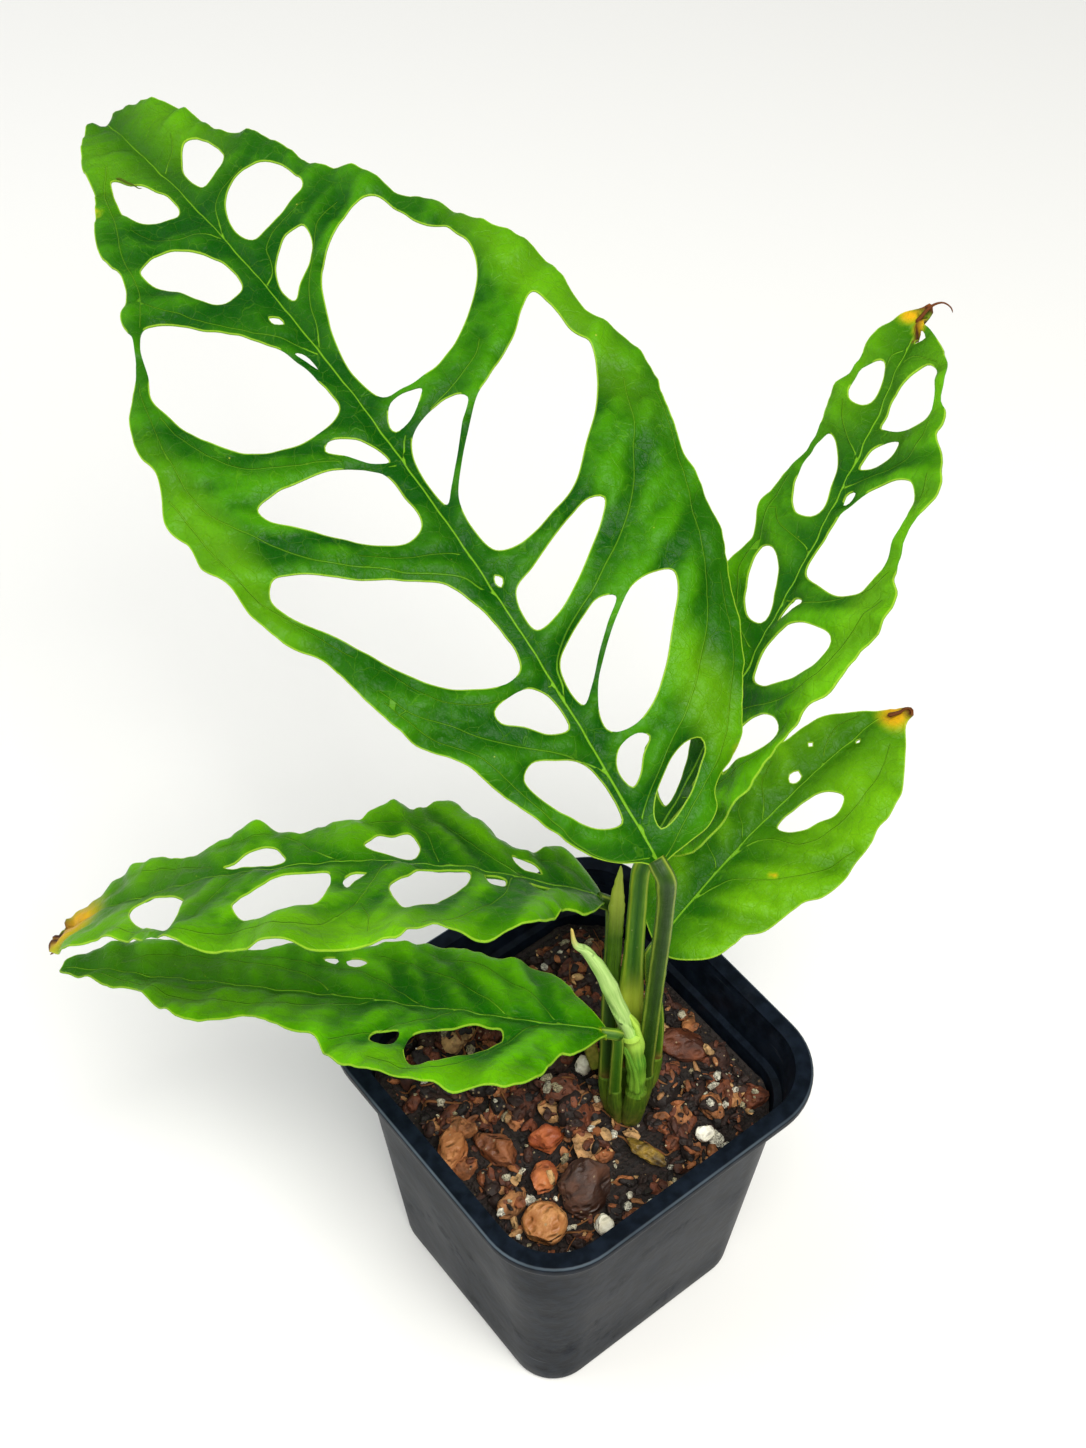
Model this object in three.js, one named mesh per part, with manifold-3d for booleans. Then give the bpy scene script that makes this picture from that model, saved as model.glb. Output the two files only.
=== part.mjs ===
// Potted monstera obliqua in a square nursery pot, in millimetres with +Z up.
// The middle of the pot's underside is the origin and the pot's sides run along X and Y.
// Five perforated leaves, one rolled new leaf, their stalks, the soil with its chips, and the pot.

import * as THREE from 'three'
import { mergeVertices } from 'three/addons/utils/BufferGeometryUtils.js'
import Module from 'manifold-3d'

const solids = await Module()
solids.setup()

// Driving dimensions
const fitGap = 0.3 // clearance kept between neighbouring pieces

const potHeight = 90
const rimSize = 90 // across the flats, outside the lip
const baseSize = 66
const potWall = 1.2
const floorThickness = 1.6
const lipDepth = 3
const lipOverhang = 3.5
const rimBandWidth = 4.2 // flat top of the lip
const bandDepth = 13 // plain band between the rim and the step in the wall
const stepWidth = 1.2
const rimCorner = 18.5
const baseCorner = 11
const drainDiameter = 7
const drainOffset = 19

const soilTop = 72 // level of the packed mix, before its loose bark
const barkPieceCount = 76
const soilSeed = 11

const bladeThickness = 0.8
const marginStep = 4.2 // spacing of points along margins and holes
const innerEdge = 9 // longest edge inside a blade
const ribBase = 1.5 // radius of a midrib where the stalk meets it
const ribTip = 0.45
const ribReach = 0.97 // share of the blade's length that the midrib swells
const ribSink = 0.4 // share of its radius that stands clear of the underside
const ribStep = 10
const ribSides = 6

const crownTop = 88 // height where the stalks part from the crown
const levelRun = 2.5 // straight run on both sides of that parting
const crownRoot = new THREE.Vector3(13, 6, 60)
const crownKnob = 5
const footSpread = 12 // depth below the parting at which the feet have spread out
const stalkSides = 10
const stalkStep = 6
const seatRun = 2 // straight run of a stalk into its midrib

// A repeatable stream of numbers between 0 and 1.
function seededRandom(seed) {
  let state = seed
  return () => {
    state = (state * 1664525 + 1013904223) % 4294967296
    return state / 4294967296
  }
}

// Closed meshes joined and cut as solids
function toSolid(geometry) {
  const bare = geometry.clone()
  bare.deleteAttribute('normal')
  bare.deleteAttribute('uv')
  const merged = mergeVertices(bare, 1e-4)
  return new solids.Manifold(new solids.Mesh({
    numProp: 3,
    vertProperties: new Float32Array(merged.attributes.position.array),
    triVerts: new Uint32Array(merged.index.array),
  }))
}

function toGeometry(solid) {
  const mesh = solid.getMesh()
  const geometry = new THREE.BufferGeometry()
  geometry.setAttribute('position', new THREE.BufferAttribute(new Float32Array(mesh.vertProperties), 3))
  geometry.setIndex(new THREE.BufferAttribute(new Uint32Array(mesh.triVerts), 1))
  return geometry
}

function join(geometries) {
  let whole = toSolid(geometries[0])
  for (const geometry of geometries.slice(1)) {
    whole = whole.add(toSolid(geometry))
  }
  return whole
}

// A closed skin through rings of equal point counts, with a flat fan over each end.
function skinRings(rings) {
  const count = rings[0].length
  const points = rings.flat()
  const indices = []
  for (let ring = 0; ring < rings.length - 1; ring += 1) {
    for (let i = 0; i < count; i += 1) {
      const a = ring * count + i
      const b = ring * count + (i + 1) % count
      indices.push(a, b, b + count, a, b + count, a + count)
    }
  }
  for (const [ring, turned] of [[0, true], [rings.length - 1, false]]) {
    const middle = new THREE.Vector3()
    rings[ring].forEach((point) => middle.addScaledVector(point, 1 / count))
    points.push(middle)
    for (let i = 0; i < count; i += 1) {
      const a = ring * count + i
      const b = ring * count + (i + 1) % count
      indices.push(points.length - 1, ...(turned ? [b, a] : [a, b]))
    }
  }
  const geometry = new THREE.BufferGeometry().setFromPoints(points)
  geometry.setIndex(indices)
  return geometry
}

// A round stalk along a curve. radiusAt gives its radius from 0 at the start to 1 at the end.
function sweepRound(curve, steps, radiusAt) {
  const frames = curve.computeFrenetFrames(steps, false)
  const rings = []
  for (let step = 0; step <= steps; step += 1) {
    const centre = curve.getPointAt(step / steps)
    const radius = radiusAt(step / steps)
    const ring = []
    for (let i = 0; i < stalkSides; i += 1) {
      const angle = 2 * Math.PI * i / stalkSides
      ring.push(centre.clone()
        .addScaledVector(frames.normals[step], radius * Math.cos(angle))
        .addScaledVector(frames.binormals[step], radius * Math.sin(angle)))
    }
    rings.push(ring)
  }
  return skinRings(rings)
}

function curveThrough(points) {
  return new THREE.CatmullRomCurve3(points.map((point) => new THREE.Vector3(...point)), false, 'centripetal')
}

// Leaf blades
// A blade is drawn flat, u along the midrib from the stalk and v across it, left side positive.
// Pose angles are in degrees. fold lifts both halves at the midrib, droop bends them down again
// by its degrees for each 100 mm, and waves ripple each half more and more towards its margin.
const leaves = [
  {
    name: 'a',
    colour: '#2f7d12',
    base: [17.2, 6.7, 174],
    length: 223,
    heading: 181.7,
    bend: -6,
    pitch: [41, -9],
    roll: -10,
    fold: 8,
    droop: 25,
    halfWidth: 50,
    waves: { left: [1.2, 30, 0.1], right: [1.2, 27, 0.4] },
    outline: [
      [0, 0], [2.5, 3], [4.5, 6.5], [8, 10.5], [14, 14.3], [20, 17], [30, 21.5], [38, 24.5], [45, 30],
      [52, 32.5], [60, 34.7], [68, 36.3], [76, 41], [85, 43.5], [92, 44], [98, 46.5], [104, 46],
      [110, 47.5], [116, 45], [121, 43], [127, 43.5], [134, 41.5], [140, 37.5], [146, 33], [152, 30],
      [158, 29.5], [163, 25.5], [170, 23], [178, 23.5], [186, 20.5], [193, 16.5], [200, 14],
      [208, 12.5], [214, 9.5], [220, 6], [223.5, 2.5], [221.5, 0], [223.5, -3], [222, -7],
      [218, -10.5], [210, -14], [202, -15.5], [193, -17.5], [190, -21], [180, -24], [170.5, -26],
      [165.5, -28.5], [162.5, -31.5], [156.5, -34], [151.5, -35.5], [146.5, -40], [140, -43],
      [132.5, -45.5], [124.5, -50], [114.5, -51.5], [104, -50.5], [99, -53], [93, -55],
      [85.5, -54.8], [79, -52], [70, -50], [60, -49], [50, -46.5],
      [44, -44], [36, -41], [28, -37], [20, -31.5], [14.5, -28], [11, -24], [9.5, -20], [7, -17],
      [4.5, -16], [2, -12.5], [1.2, -8], [0.6, -4],
    ],
    holes: [
      [[11.5, 2.5], [13, 7.5], [18, 11.5], [24, 14.5], [29, 15.5], [31, 12.5], [29, 8], [26, 3.5],
        [20, 1.7], [14, 1.5]],
      [[33, 2.3], [34, 6], [38, 10], [41, 13.5], [43.5, 13.5], [44.5, 9], [44, 5], [41, 2.2],
        [36, 1.5]],
      [[48, 4.5], [47, 8], [49, 14], [54, 21], [62, 26.5], [72, 32], [81, 37.5], [86, 38.5],
        [88.5, 36], [86, 30], [80, 22], [75, 14], [70, 7.5], [64, 5], [58, 3.5], [52, 3]],
      [[83, 5], [81.5, 9], [84, 14.5], [89, 20], [95, 26], [100, 30.5], [103, 30.5], [104, 26],
        [103.5, 20], [103, 15], [100.5, 9], [97, 5], [90, 4]],
      [[98.5, 2.3], [100, 6], [104, 9.5], [107, 12], [108.5, 10.5], [106, 5.5], [102, 3]],
      [[114, 4.2], [111.3, 10], [111.5, 17.5], [115.5, 26], [122, 31], [129.5, 33.7], [137, 34.5],
        [143, 32], [149, 30], [153.5, 26.5], [152, 22], [146, 17], [140, 11], [134, 7.3],
        [126.5, 4.7], [119, 3.9]],
      [[124.5, 2.4], [127.3, 3.5], [130.2, 4.6], [129.7, 3.1], [127, 2.2]],
      [[151, 4.5], [150, 10], [153, 13.5], [158, 16], [163, 19], [167, 19.5], [170, 15.5],
        [169.5, 11], [166, 6.5], [160, 4], [154, 3.5]],
      [[137.8, 2.4], [138.8, 4], [141.2, 3.8], [140, 2.2]],
      [[178, 4.5], [178.5, 7.5], [181, 12], [185, 13.5], [191, 12.5], [196, 11], [199, 9.5],
        [196, 8], [190, 5], [185, 3], [180, 3]],
      [[6.5, -3.8], [6.5, -6], [7.7, -9.2], [10, -13.2], [12.6, -16.4], [15.6, -19.6], [17.8, -20],
        [18.6, -17.5], [17.5, -13.3], [14.7, -9], [11.5, -5.3], [8.7, -3.7]],
      [[16.5, -3], [18, -5.5], [21, -8], [23.5, -11], [25.2, -9.3], [24.8, -5], [22, -2.5],
        [18.5, -2.2]],
      [[27.6, -5.7], [27, -10], [29.3, -15.7], [34, -21.5], [40, -27], [45, -31.5], [49, -33],
        [50.5, -30], [50.5, -24], [47, -18], [42, -12], [38, -8], [33, -5], [29, -4.5]],
      [[35.5, -3], [38, -6.5], [43, -11.5], [47, -16], [50.5, -20], [52, -17], [50.5, -12.5],
        [48, -7.5], [45, -3.5], [40, -2.2]],
      [[53, -3], [53.5, -8], [57, -15], [61, -21], [65, -26.5], [68.5, -29.5], [70, -27],
        [69, -22], [66.5, -15], [64, -9], [62, -4], [57, -2.3]],
      [[64.2, -1.8], [65.5, -2.9], [66.8, -2], [65.5, -1.3]],
      [[71, -5], [69.5, -10], [71.5, -19], [74, -26], [80, -33], [86, -40], [92, -44.5],
        [98, -46.5], [103, -45], [110, -45], [114, -44], [112, -40], [107, -34], [103, -26],
        [100, -20], [95.5, -15], [90, -9.5], [84, -4.8], [78, -3.7]],
      [[84.5, -2.2], [87, -5], [92, -9.8], [97, -14.4], [101, -18.5], [103, -17], [103, -10],
        [101, -5], [97, -2.4], [90, -1.4]],
      [[103.5, -2.5], [104, -6.5], [106, -10], [108, -12], [109, -9], [109, -5], [107, -3],
        [105, -2.1]],
      [[111, -4.5], [110, -9], [110.3, -17], [113, -24], [119, -32], [125, -37.5], [131, -39.5],
        [138, -38], [141, -35], [147, -33], [153, -31], [153.5, -26], [151, -20], [147, -14],
        [142, -10], [136, -7], [128, -4], [119, -2.6]],
      [[141.5, -2.8], [144, -6], [148, -10.7], [153, -14.3], [157, -14.5], [157.5, -11],
        [154.5, -7], [150, -3.5], [145, -2]],
      [[161, -4.5], [162, -10], [164, -16], [166.5, -21], [171, -21.3], [177, -20], [179.5, -16],
        [180, -12], [177, -8], [172, -4.5], [165, -3]],
      [[182, -4.5], [183, -8], [186, -12.5], [192, -13], [197, -11.5], [198, -9], [194, -5.5],
        [188, -3.5]],
    ],
  },
  {
    name: 'b',
    colour: '#2c7410',
    base: [3.1, 15.8, 156.3],
    length: 130.9,
    heading: 95.8,
    bend: 22.9,
    pitch: [55.3, 15.3],
    roll: -23,
    fold: 10,
    droop: 30,
    halfWidth: 28,
    waves: { left: [1, 24, 0.2], right: [1, 24, 0.55] },
    outline: [
      [0, 0], [3.5, 4.5], [8.5, 9], [16.5, 12.5], [27, 15], [39, 17], [51.5, 16.5], [62.5, 16.5],
      [70.5, 14.5], [79, 16], [87, 14], [95, 12], [101.5, 11.5], [109.5, 12.5], [115, 9.5],
      [123, 8.5], [128, 5.5], [131.5, 2], [132.4, -2], [130.3, -1.4], [127.8, -1.6], [125.6, -4.2],
      [121, -8.7], [115.7, -12.7], [112, -14.2], [108.3, -14.3], [106, -16.5],
      [101, -17], [96.5, -20.5], [90, -24], [84, -22.5],
      [79, -21.3], [74, -22.5], [69.5, -26.5], [63.5, -28], [57, -25.5], [50, -25], [44.5, -22],
      [39, -21], [30, -19.3], [21.5, -18.5], [18, -17], [13.5, -16.5], [10, -15], [6.5, -11.5],
      [3, -5.5],
    ],
    holes: [
      [[54.5, 2.5], [54.5, 6], [58.5, 9.5], [64.5, 11], [69.5, 11.3], [70, 8.5], [67, 5],
        [60.5, 2.5], [56.5, 1.7]],
      [[79, 3.4], [79, 7.3], [82.5, 10], [88, 11.2], [94.5, 10.9], [98.3, 9], [97, 6.8], [92.5, 4],
        [86.5, 2.4], [81.5, 1.9]],
      [[106, 4], [107.5, 8], [113, 8.5], [117, 6.3], [117.5, 4], [114, 2.5], [108, 2.2]],
      [[44, -2.2], [43.5, -6], [45.5, -10.5], [50, -15.5], [55, -18], [58, -17.3], [58.5, -13],
        [57.5, -7.5], [53.5, -3.5], [47.5, -1.6]],
      [[56.5, -1.6], [59, -3.6], [62, -5], [61.8, -2.7], [59.5, -1.5]],
      [[67.5, -2], [66, -7.5], [65.5, -13.5], [68, -18.8], [73, -19.8], [78, -19], [82, -20],
        [87, -19.3], [90.3, -17], [88.5, -10], [85, -5.5], [79.5, -2.5], [72, -1.6]],
      [[83.5, -1.6], [85.5, -1.5], [86.6, -3], [86.4, -4.1], [84.9, -4], [83.5, -2.9]],
      [[92, -1.4], [95, -1.4], [97.8, -3.2], [99, -6], [98.7, -8.4], [96.2, -8.6], [93.6, -6.2],
        [92, -3.5]],
      [[101.8, -1.9], [104.8, -1.9], [110.5, -2.6], [115.5, -4.8], [117, -6.6], [116.2, -9],
        [113, -11.3], [109.3, -12.6], [105.5, -12.8], [102.7, -11], [101.2, -7.5], [101.2, -3.8]],
      [[122.8, -1.1], [126.2, -1.2], [124, -3.3]],
      [[25, -10], [29, -12], [32, -15], [36.5, -17.5], [39.5, -16], [39.5, -12.5], [37, -9],
        [29.5, -7]],
      [[7, -1.7], [9, -4.5], [13, -7], [16, -5], [13.5, -2.5], [9.5, -1.6]],
      [[18.5, -2], [19.5, -4.3], [23, -6], [25.5, -4.5], [22.5, -2]],
      [[10.5, 2], [13.5, 6.5], [19.5, 9.5], [28, 10.5], [30, 8], [24.5, 3.5], [17.5, 1.8]],
      [[33, 2.2], [34, 7], [39, 11], [45.5, 11.5], [47.5, 8], [43, 3.5], [38, 2]],
    ],
  },
  {
    name: 'c',
    colour: '#2f7a12',
    base: [7.9, 16.4, 126.9],
    length: 74,
    heading: 102.8,
    bend: -17,
    pitch: [15.5, 19.8],
    roll: 8,
    fold: 8,
    droop: 30,
    halfWidth: 24,
    waves: { left: [0, 22, 0.2], right: [0, 22, 0] },
    outline: [
      [0, 0], [3.5, 6], [8, 10], [14, 13.5], [22, 15.5], [31, 16], [39, 15], [47, 12.5], [54, 10],
      [60, 9.5], [66, 7.5], [70, 4.5], [73.5, 2], [77.5, -0.5], [80, -4], [76.5, -5.5], [73, -9.5],
      [69, -13.5], [64, -17.5], [58, -19.5], [54, -20], [50, -21.5], [44, -22], [38, -23],
      [32, -22], [28, -19.5], [22, -18.5], [16, -16.5], [13.5, -14.5], [10.5, -14], [5.5, -12.5],
      [1.5, -8.5], [-0.8, -4],
    ],
    holes: [
      [[38.5, -3], [39.3, -5.5], [42, -8], [46, -9.5], [51, -10.5], [54, -9], [53, -6.5],
        [50, -4.2], [45, -3]],
      [[48, 2.2], [49.3, 3.5], [51.3, 2.8], [51, 1.5], [49, 1.2]],
    ],
  },
  {
    name: 'd',
    colour: '#358a14',
    base: [-2.7, 10.3, 138],
    length: 132.6,
    heading: 235.9,
    bend: -5.4,
    pitch: [34.6, -45.5],
    roll: 22,
    fold: 8,
    droop: 30,
    halfWidth: 30,
    waves: { left: [2.4, 23, 0.315], right: [1.8, 30, 0.583] },
    outline: [
      [0, 0], [2.5, 4], [6.5, 9], [9.5, 11], [14, 12], [18, 18], [22.5, 22.5], [28, 24.5],
      [31.5, 26.5], [38, 27.5], [42.5, 29], [46, 31], [48, 33.5], [52, 33], [57.5, 33], [62, 35],
      [65.5, 35], [71.5, 32], [79, 29.5], [84, 29.5], [88.5, 27], [99, 20.5], [105, 17.5],
      [109.5, 16], [114, 17], [120.5, 14], [125, 11], [128, 5], [131.5, -0.5], [132, -2.5],
      [127, -3.5], [123, -6], [120, -10], [115, -12.5], [109.5, -13], [104, -12.5], [98, -10.5],
      [92, -11], [86, -14.5], [79.5, -16], [76, -14], [70, -11.5], [66, -13.5], [58, -14],
      [54, -17], [48, -20.5], [44, -19.5], [37.5, -23.5], [33.5, -23.5], [31, -20], [26, -14.5],
      [21.5, -10], [19, -8.7], [15, -11], [11, -13.5], [7.5, -14], [4, -9.5], [1.5, -5],
    ],
    holes: [
      [[33, 2.5], [34, 7.5], [38, 13.5], [43, 19.5], [47, 22], [49, 17.5], [49.5, 11], [46, 6.5],
        [42, 2.5], [38, 1.7]],
      [[62, 6], [61.5, 13], [63, 19.5], [67.5, 21.5], [72, 23], [75.5, 22], [79.5, 16.5],
        [78.5, 11.5], [75, 9], [73, 6.5], [66, 5]],
      [[54.5, 5], [56.5, 8.5], [58, 11], [59, 8.5], [57.5, 5.5]],
      [[92, 8.5], [90.5, 15.5], [91.5, 22], [97.5, 17], [102.5, 12], [104.5, 7.5], [103.5, 5],
        [100, 4], [95, 5.5]],
      [[25, 2.2], [26, 6], [29, 7], [30, 4.5], [28.5, 1.7]],
      [[13, 2], [15, 4], [17.5, 6.5], [19.5, 5], [19.5, 2.5]],
      [[44, -2.5], [43, -6], [45, -9.5], [50, -9.5], [53, -7.5], [55, -4.5], [51, -2.5],
        [46, -1.7]],
      [[72, -1.8], [73, -4], [75, -6.5], [79, -7], [82, -4.5], [86, -3], [82, -2], [77, -1.5]],
      [[15.5, -2.6], [17, -4.5], [19.5, -6], [22, -6.3], [21.5, -4], [19.5, -2.8]],
    ],
  },
  {
    name: 'e',
    colour: '#35870f',
    base: [11.6, 0.5, 112],
    length: 127.7,
    heading: 229,
    bend: -12.1,
    pitch: [9.3, -13.2],
    roll: 20,
    fold: 8,
    droop: 30,
    halfWidth: 26,
    waves: { left: [1.6, 28, 0.607], right: [1.2, 26, 0.2] },
    outline: [
      [0, 0], [1.5, 2.5], [4.5, 7], [8, 10.5], [10.5, 11.5], [12.5, 15], [14.5, 20], [18, 24.5],
      [22, 26], [27, 25.7], [32, 26.5], [36, 26], [41, 28.3], [46.5, 28], [54, 25.5],
      [58.5, 21.5], [62, 16.8], [68, 15], [74, 13.5], [79, 11.3], [83, 14], [90.5, 15], [96, 13],
      [102, 9.5], [106, 6.5], [112, 6], [118, 3.5], [124, 2.5], [127.5, 1], [127.5, -1.5],
      [124, -5.5], [118, -9.5], [110, -11.5], [104, -12], [96, -12.5], [87, -11.5], [80, -12.7],
      [74, -16.3], [66, -17], [58, -17.5], [50, -19], [42, -21.5], [34, -20], [28, -17.7],
      [20, -18.5], [15, -17.3], [10, -13.5], [7, -9], [3, -4.5],
    ],
    holes: [
      [[24, 5.5], [23.5, 9], [27, 13], [32, 16], [37, 20], [41, 22], [43, 19], [42.5, 13],
        [38, 9], [32, 6], [27, 5]],
      [[45, 12.5], [45.5, 16.5], [48, 18], [50.5, 16], [50.5, 12.5], [48, 11.5]],
      [[67, -12.1], [65.5, -12.7], [63.9, -12.6], [63.2, -11.7], [63.8, -10.7], [65.4, -11]],
      [[61.5, -12], [60.2, -12.2], [57.8, -11.7], [56.2, -10.7], [57, -9.8], [58.7, -9.1], [60.4, -9.8]],
    ],
  },
]

const radians = THREE.MathUtils.degToRad
const midribSteps = 48

// Directions along the midrib, across the blade and out of its upper face, at a share of the length.
function bladeAxes(leaf, share) {
  const heading = radians(leaf.heading + leaf.bend * share)
  const pitch = radians(THREE.MathUtils.lerp(leaf.pitch[0], leaf.pitch[1], share))
  const roll = radians(leaf.roll)
  const along = new THREE.Vector3(
    Math.cos(pitch) * Math.cos(heading), Math.cos(pitch) * Math.sin(heading), Math.sin(pitch))
  const level = new THREE.Vector3(-Math.sin(heading), Math.cos(heading), 0)
  const upright = along.clone().cross(level)
  const across = level.clone().multiplyScalar(Math.cos(roll)).addScaledVector(upright, Math.sin(roll))
  const out = upright.clone().multiplyScalar(Math.cos(roll)).addScaledVector(level, -Math.sin(roll))
  return { along, across, out }
}

function midribPoints(leaf) {
  const points = [new THREE.Vector3(...leaf.base)]
  for (let step = 0; step < midribSteps; step += 1) {
    const { along } = bladeAxes(leaf, (step + 0.5) / midribSteps)
    points.push(points[step].clone().addScaledVector(along, leaf.length / midribSteps))
  }
  return points
}

function waveHeight(leaf, u, v) {
  const [height, spacing, phase] = v > 0 ? leaf.waves.left : leaf.waves.right
  const reach = Math.min(Math.abs(v) / leaf.halfWidth, 1.2)
  return height * reach * reach * Math.sin(2 * Math.PI * (u / spacing + phase))
}

// The point of the bent blade at (u, v), raised out of its upper face by lift.
function bladePoint(leaf, u, v, lift) {
  const share = u / leaf.length
  const held = THREE.MathUtils.clamp(share, 0, 1)
  const place = Math.min(held * midribSteps, midribSteps - 1e-6)
  const step = Math.floor(place)
  const { along, across, out } = bladeAxes(leaf, held)
  const fold = radians(leaf.fold)
  const bendRate = radians(leaf.droop) / 100
  const slope = fold - bendRate * Math.abs(v)
  const side = Math.sign(v)
  const reach = (Math.sin(fold) - Math.sin(slope)) / bendRate
  const rise = (Math.cos(slope) - Math.cos(fold)) / bendRate
  const normal = out.clone().multiplyScalar(Math.cos(slope)).addScaledVector(across, -side * Math.sin(slope))
  return leaf.midrib[step].clone().lerp(leaf.midrib[step + 1], place - step)
    .addScaledVector(along, (share - held) * leaf.length)
    .addScaledVector(across, side * reach)
    .addScaledVector(out, rise)
    .addScaledVector(normal, lift + waveHeight(leaf, u, v))
}

// Points along a closed smooth line, close enough together for its bends.
function closedLine(corners) {
  const flat = corners.map(([u, v]) => new THREE.Vector3(u, v, 0))
  const curve = new THREE.CatmullRomCurve3(flat, true, 'centripetal')
  const points = []
  flat.forEach((corner, i) => {
    const next = flat[(i + 1) % flat.length]
    const pieces = Math.max(1, Math.round(corner.distanceTo(next) / marginStep))
    for (let piece = 0; piece < pieces; piece += 1) {
      const point = curve.getPoint((i + piece / pieces) / flat.length)
      points.push(new THREE.Vector2(point.x, point.y))
    }
  })
  return points
}

const edgeKey = (a, b) => (a < b ? `${a} ${b}` : `${b} ${a}`)

// Each edge with the triangles on its two sides.
function edgeTable(triangles) {
  const table = new Map()
  triangles.forEach((triangle, index) => {
    for (let i = 0; i < 3; i += 1) {
      const key = edgeKey(triangle[i], triangle[(i + 1) % 3])
      table.set(key, [...(table.get(key) ?? []), index])
    }
  })
  return table
}

// The edge shared by two triangles, turned so that the first triangle runs start, end, near.
function sharedEdge(triangles, [first, second], key) {
  const ends = key.split(' ').map(Number)
  const one = triangles[first]
  const near = one.find((index) => !ends.includes(index))
  const far = triangles[second].find((index) => !ends.includes(index))
  const at = one.indexOf(near)
  return { start: one[(at + 1) % 3], end: one[(at + 2) % 3], near, far }
}

function turn(points, a, b, c) {
  return (points[b].x - points[a].x) * (points[c].y - points[a].y)
    - (points[b].y - points[a].y) * (points[c].x - points[a].x)
}

function angleAt(points, corner, a, b) {
  const toA = points[a].clone().sub(points[corner])
  const toB = points[b].clone().sub(points[corner])
  return Math.acos(THREE.MathUtils.clamp(toA.dot(toB) / (toA.length() * toB.length()), -1, 1))
}

// Goes over the inner edges once and lets change replace the two triangles beside an edge.
function sweepEdges(points, triangles, change) {
  const touched = new Set()
  let changes = 0
  for (const [key, pair] of edgeTable(triangles)) {
    if (pair.length === 2 && !touched.has(pair[0]) && !touched.has(pair[1])) {
      const fresh = change(sharedEdge(triangles, pair, key))
      if (fresh) {
        pair.forEach((index) => touched.add(index))
        triangles[pair[0]] = fresh[0]
        triangles[pair[1]] = fresh[1]
        triangles.push(...fresh.slice(2))
        changes += 1
      }
    }
  }
  return changes
}

// Flat triangles inside an outline and outside its holes, with no long or needle-like ones.
function fillOutline(outline, holes) {
  const points = [...outline, ...holes.flat()]
  const triangles = THREE.ShapeUtils.triangulateShape(outline, holes)
  triangles.forEach((triangle) => {
    if (turn(points, ...triangle) < 0) {
      triangle.reverse()
    }
  })
  const improve = ({ start, end, near, far }) => {
    const convex = turn(points, near, start, far) > 1e-6 && turn(points, far, end, near) > 1e-6
    const open = angleAt(points, near, start, end) + angleAt(points, far, start, end) > Math.PI + 1e-6
    return convex && open ? [[near, start, far], [far, end, near]] : null
  }
  const split = ({ start, end, near, far }) => {
    if (points[start].distanceTo(points[end]) < innerEdge) {
      return null
    }
    points.push(points[start].clone().lerp(points[end], 0.5))
    const middle = points.length - 1
    return [[near, start, middle], [middle, end, near], [middle, start, far], [far, end, middle]]
  }
  const settle = () => {
    while (sweepEdges(points, triangles, improve) > 0);
  }
  settle()
  while (sweepEdges(points, triangles, split) > 0) {
    settle()
  }
  return { points, triangles }
}

// The two faces and the cut edge of a blade, as one closed skin.
function bladeSkin(leaf) {
  const outline = closedLine(leaf.outline)
  if (THREE.ShapeUtils.area(outline) < 0) {
    outline.reverse()
  }
  const holes = leaf.holes.map((hole) => {
    const line = closedLine(hole)
    return THREE.ShapeUtils.area(line) > 0 ? line.reverse() : line
  })
  const { points, triangles } = fillOutline(outline, holes)
  const count = points.length
  const faces = [bladeThickness / 2, -bladeThickness / 2].map(
    (lift) => points.map((point) => bladePoint(leaf, point.x, point.y, lift)))
  const indices = []
  for (const [a, b, c] of triangles) {
    indices.push(a, b, c, a + count, c + count, b + count)
  }
  let start = 0
  for (const line of [outline, ...holes]) {
    line.forEach((_, i) => {
      const a = start + i
      const b = start + (i + 1) % line.length
      indices.push(b, a, a + count, b, a + count, b + count)
    })
    start += line.length
  }
  const geometry = new THREE.BufferGeometry().setFromPoints(faces.flat())
  geometry.setIndex(indices)
  return geometry
}

const ribRadius = (share) => THREE.MathUtils.lerp(ribBase, ribTip, Math.sqrt(share))
const ribDepth = (share) => bladeThickness / 2 + ribRadius(share) * ribSink

// The midrib swells the underside of the blade.
function ribSkin(leaf) {
  const steps = Math.round(leaf.length / ribStep)
  const rings = []
  for (let step = 0; step <= steps; step += 1) {
    const share = ribReach * step / steps
    const { across, out } = bladeAxes(leaf, share)
    const centre = bladePoint(leaf, share * leaf.length, 0, -ribDepth(share))
    const ring = []
    for (let i = 0; i < ribSides; i += 1) {
      const angle = 2 * Math.PI * i / ribSides
      ring.push(centre.clone()
        .addScaledVector(across, ribRadius(share) * Math.cos(angle))
        .addScaledVector(out, ribRadius(share) * Math.sin(angle)))
    }
    rings.push(ring)
  }
  return skinRings(rings)
}

function makeBlade(leaf) {
  return toGeometry(join([bladeSkin(leaf), ribSkin(leaf)]))
}

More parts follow.
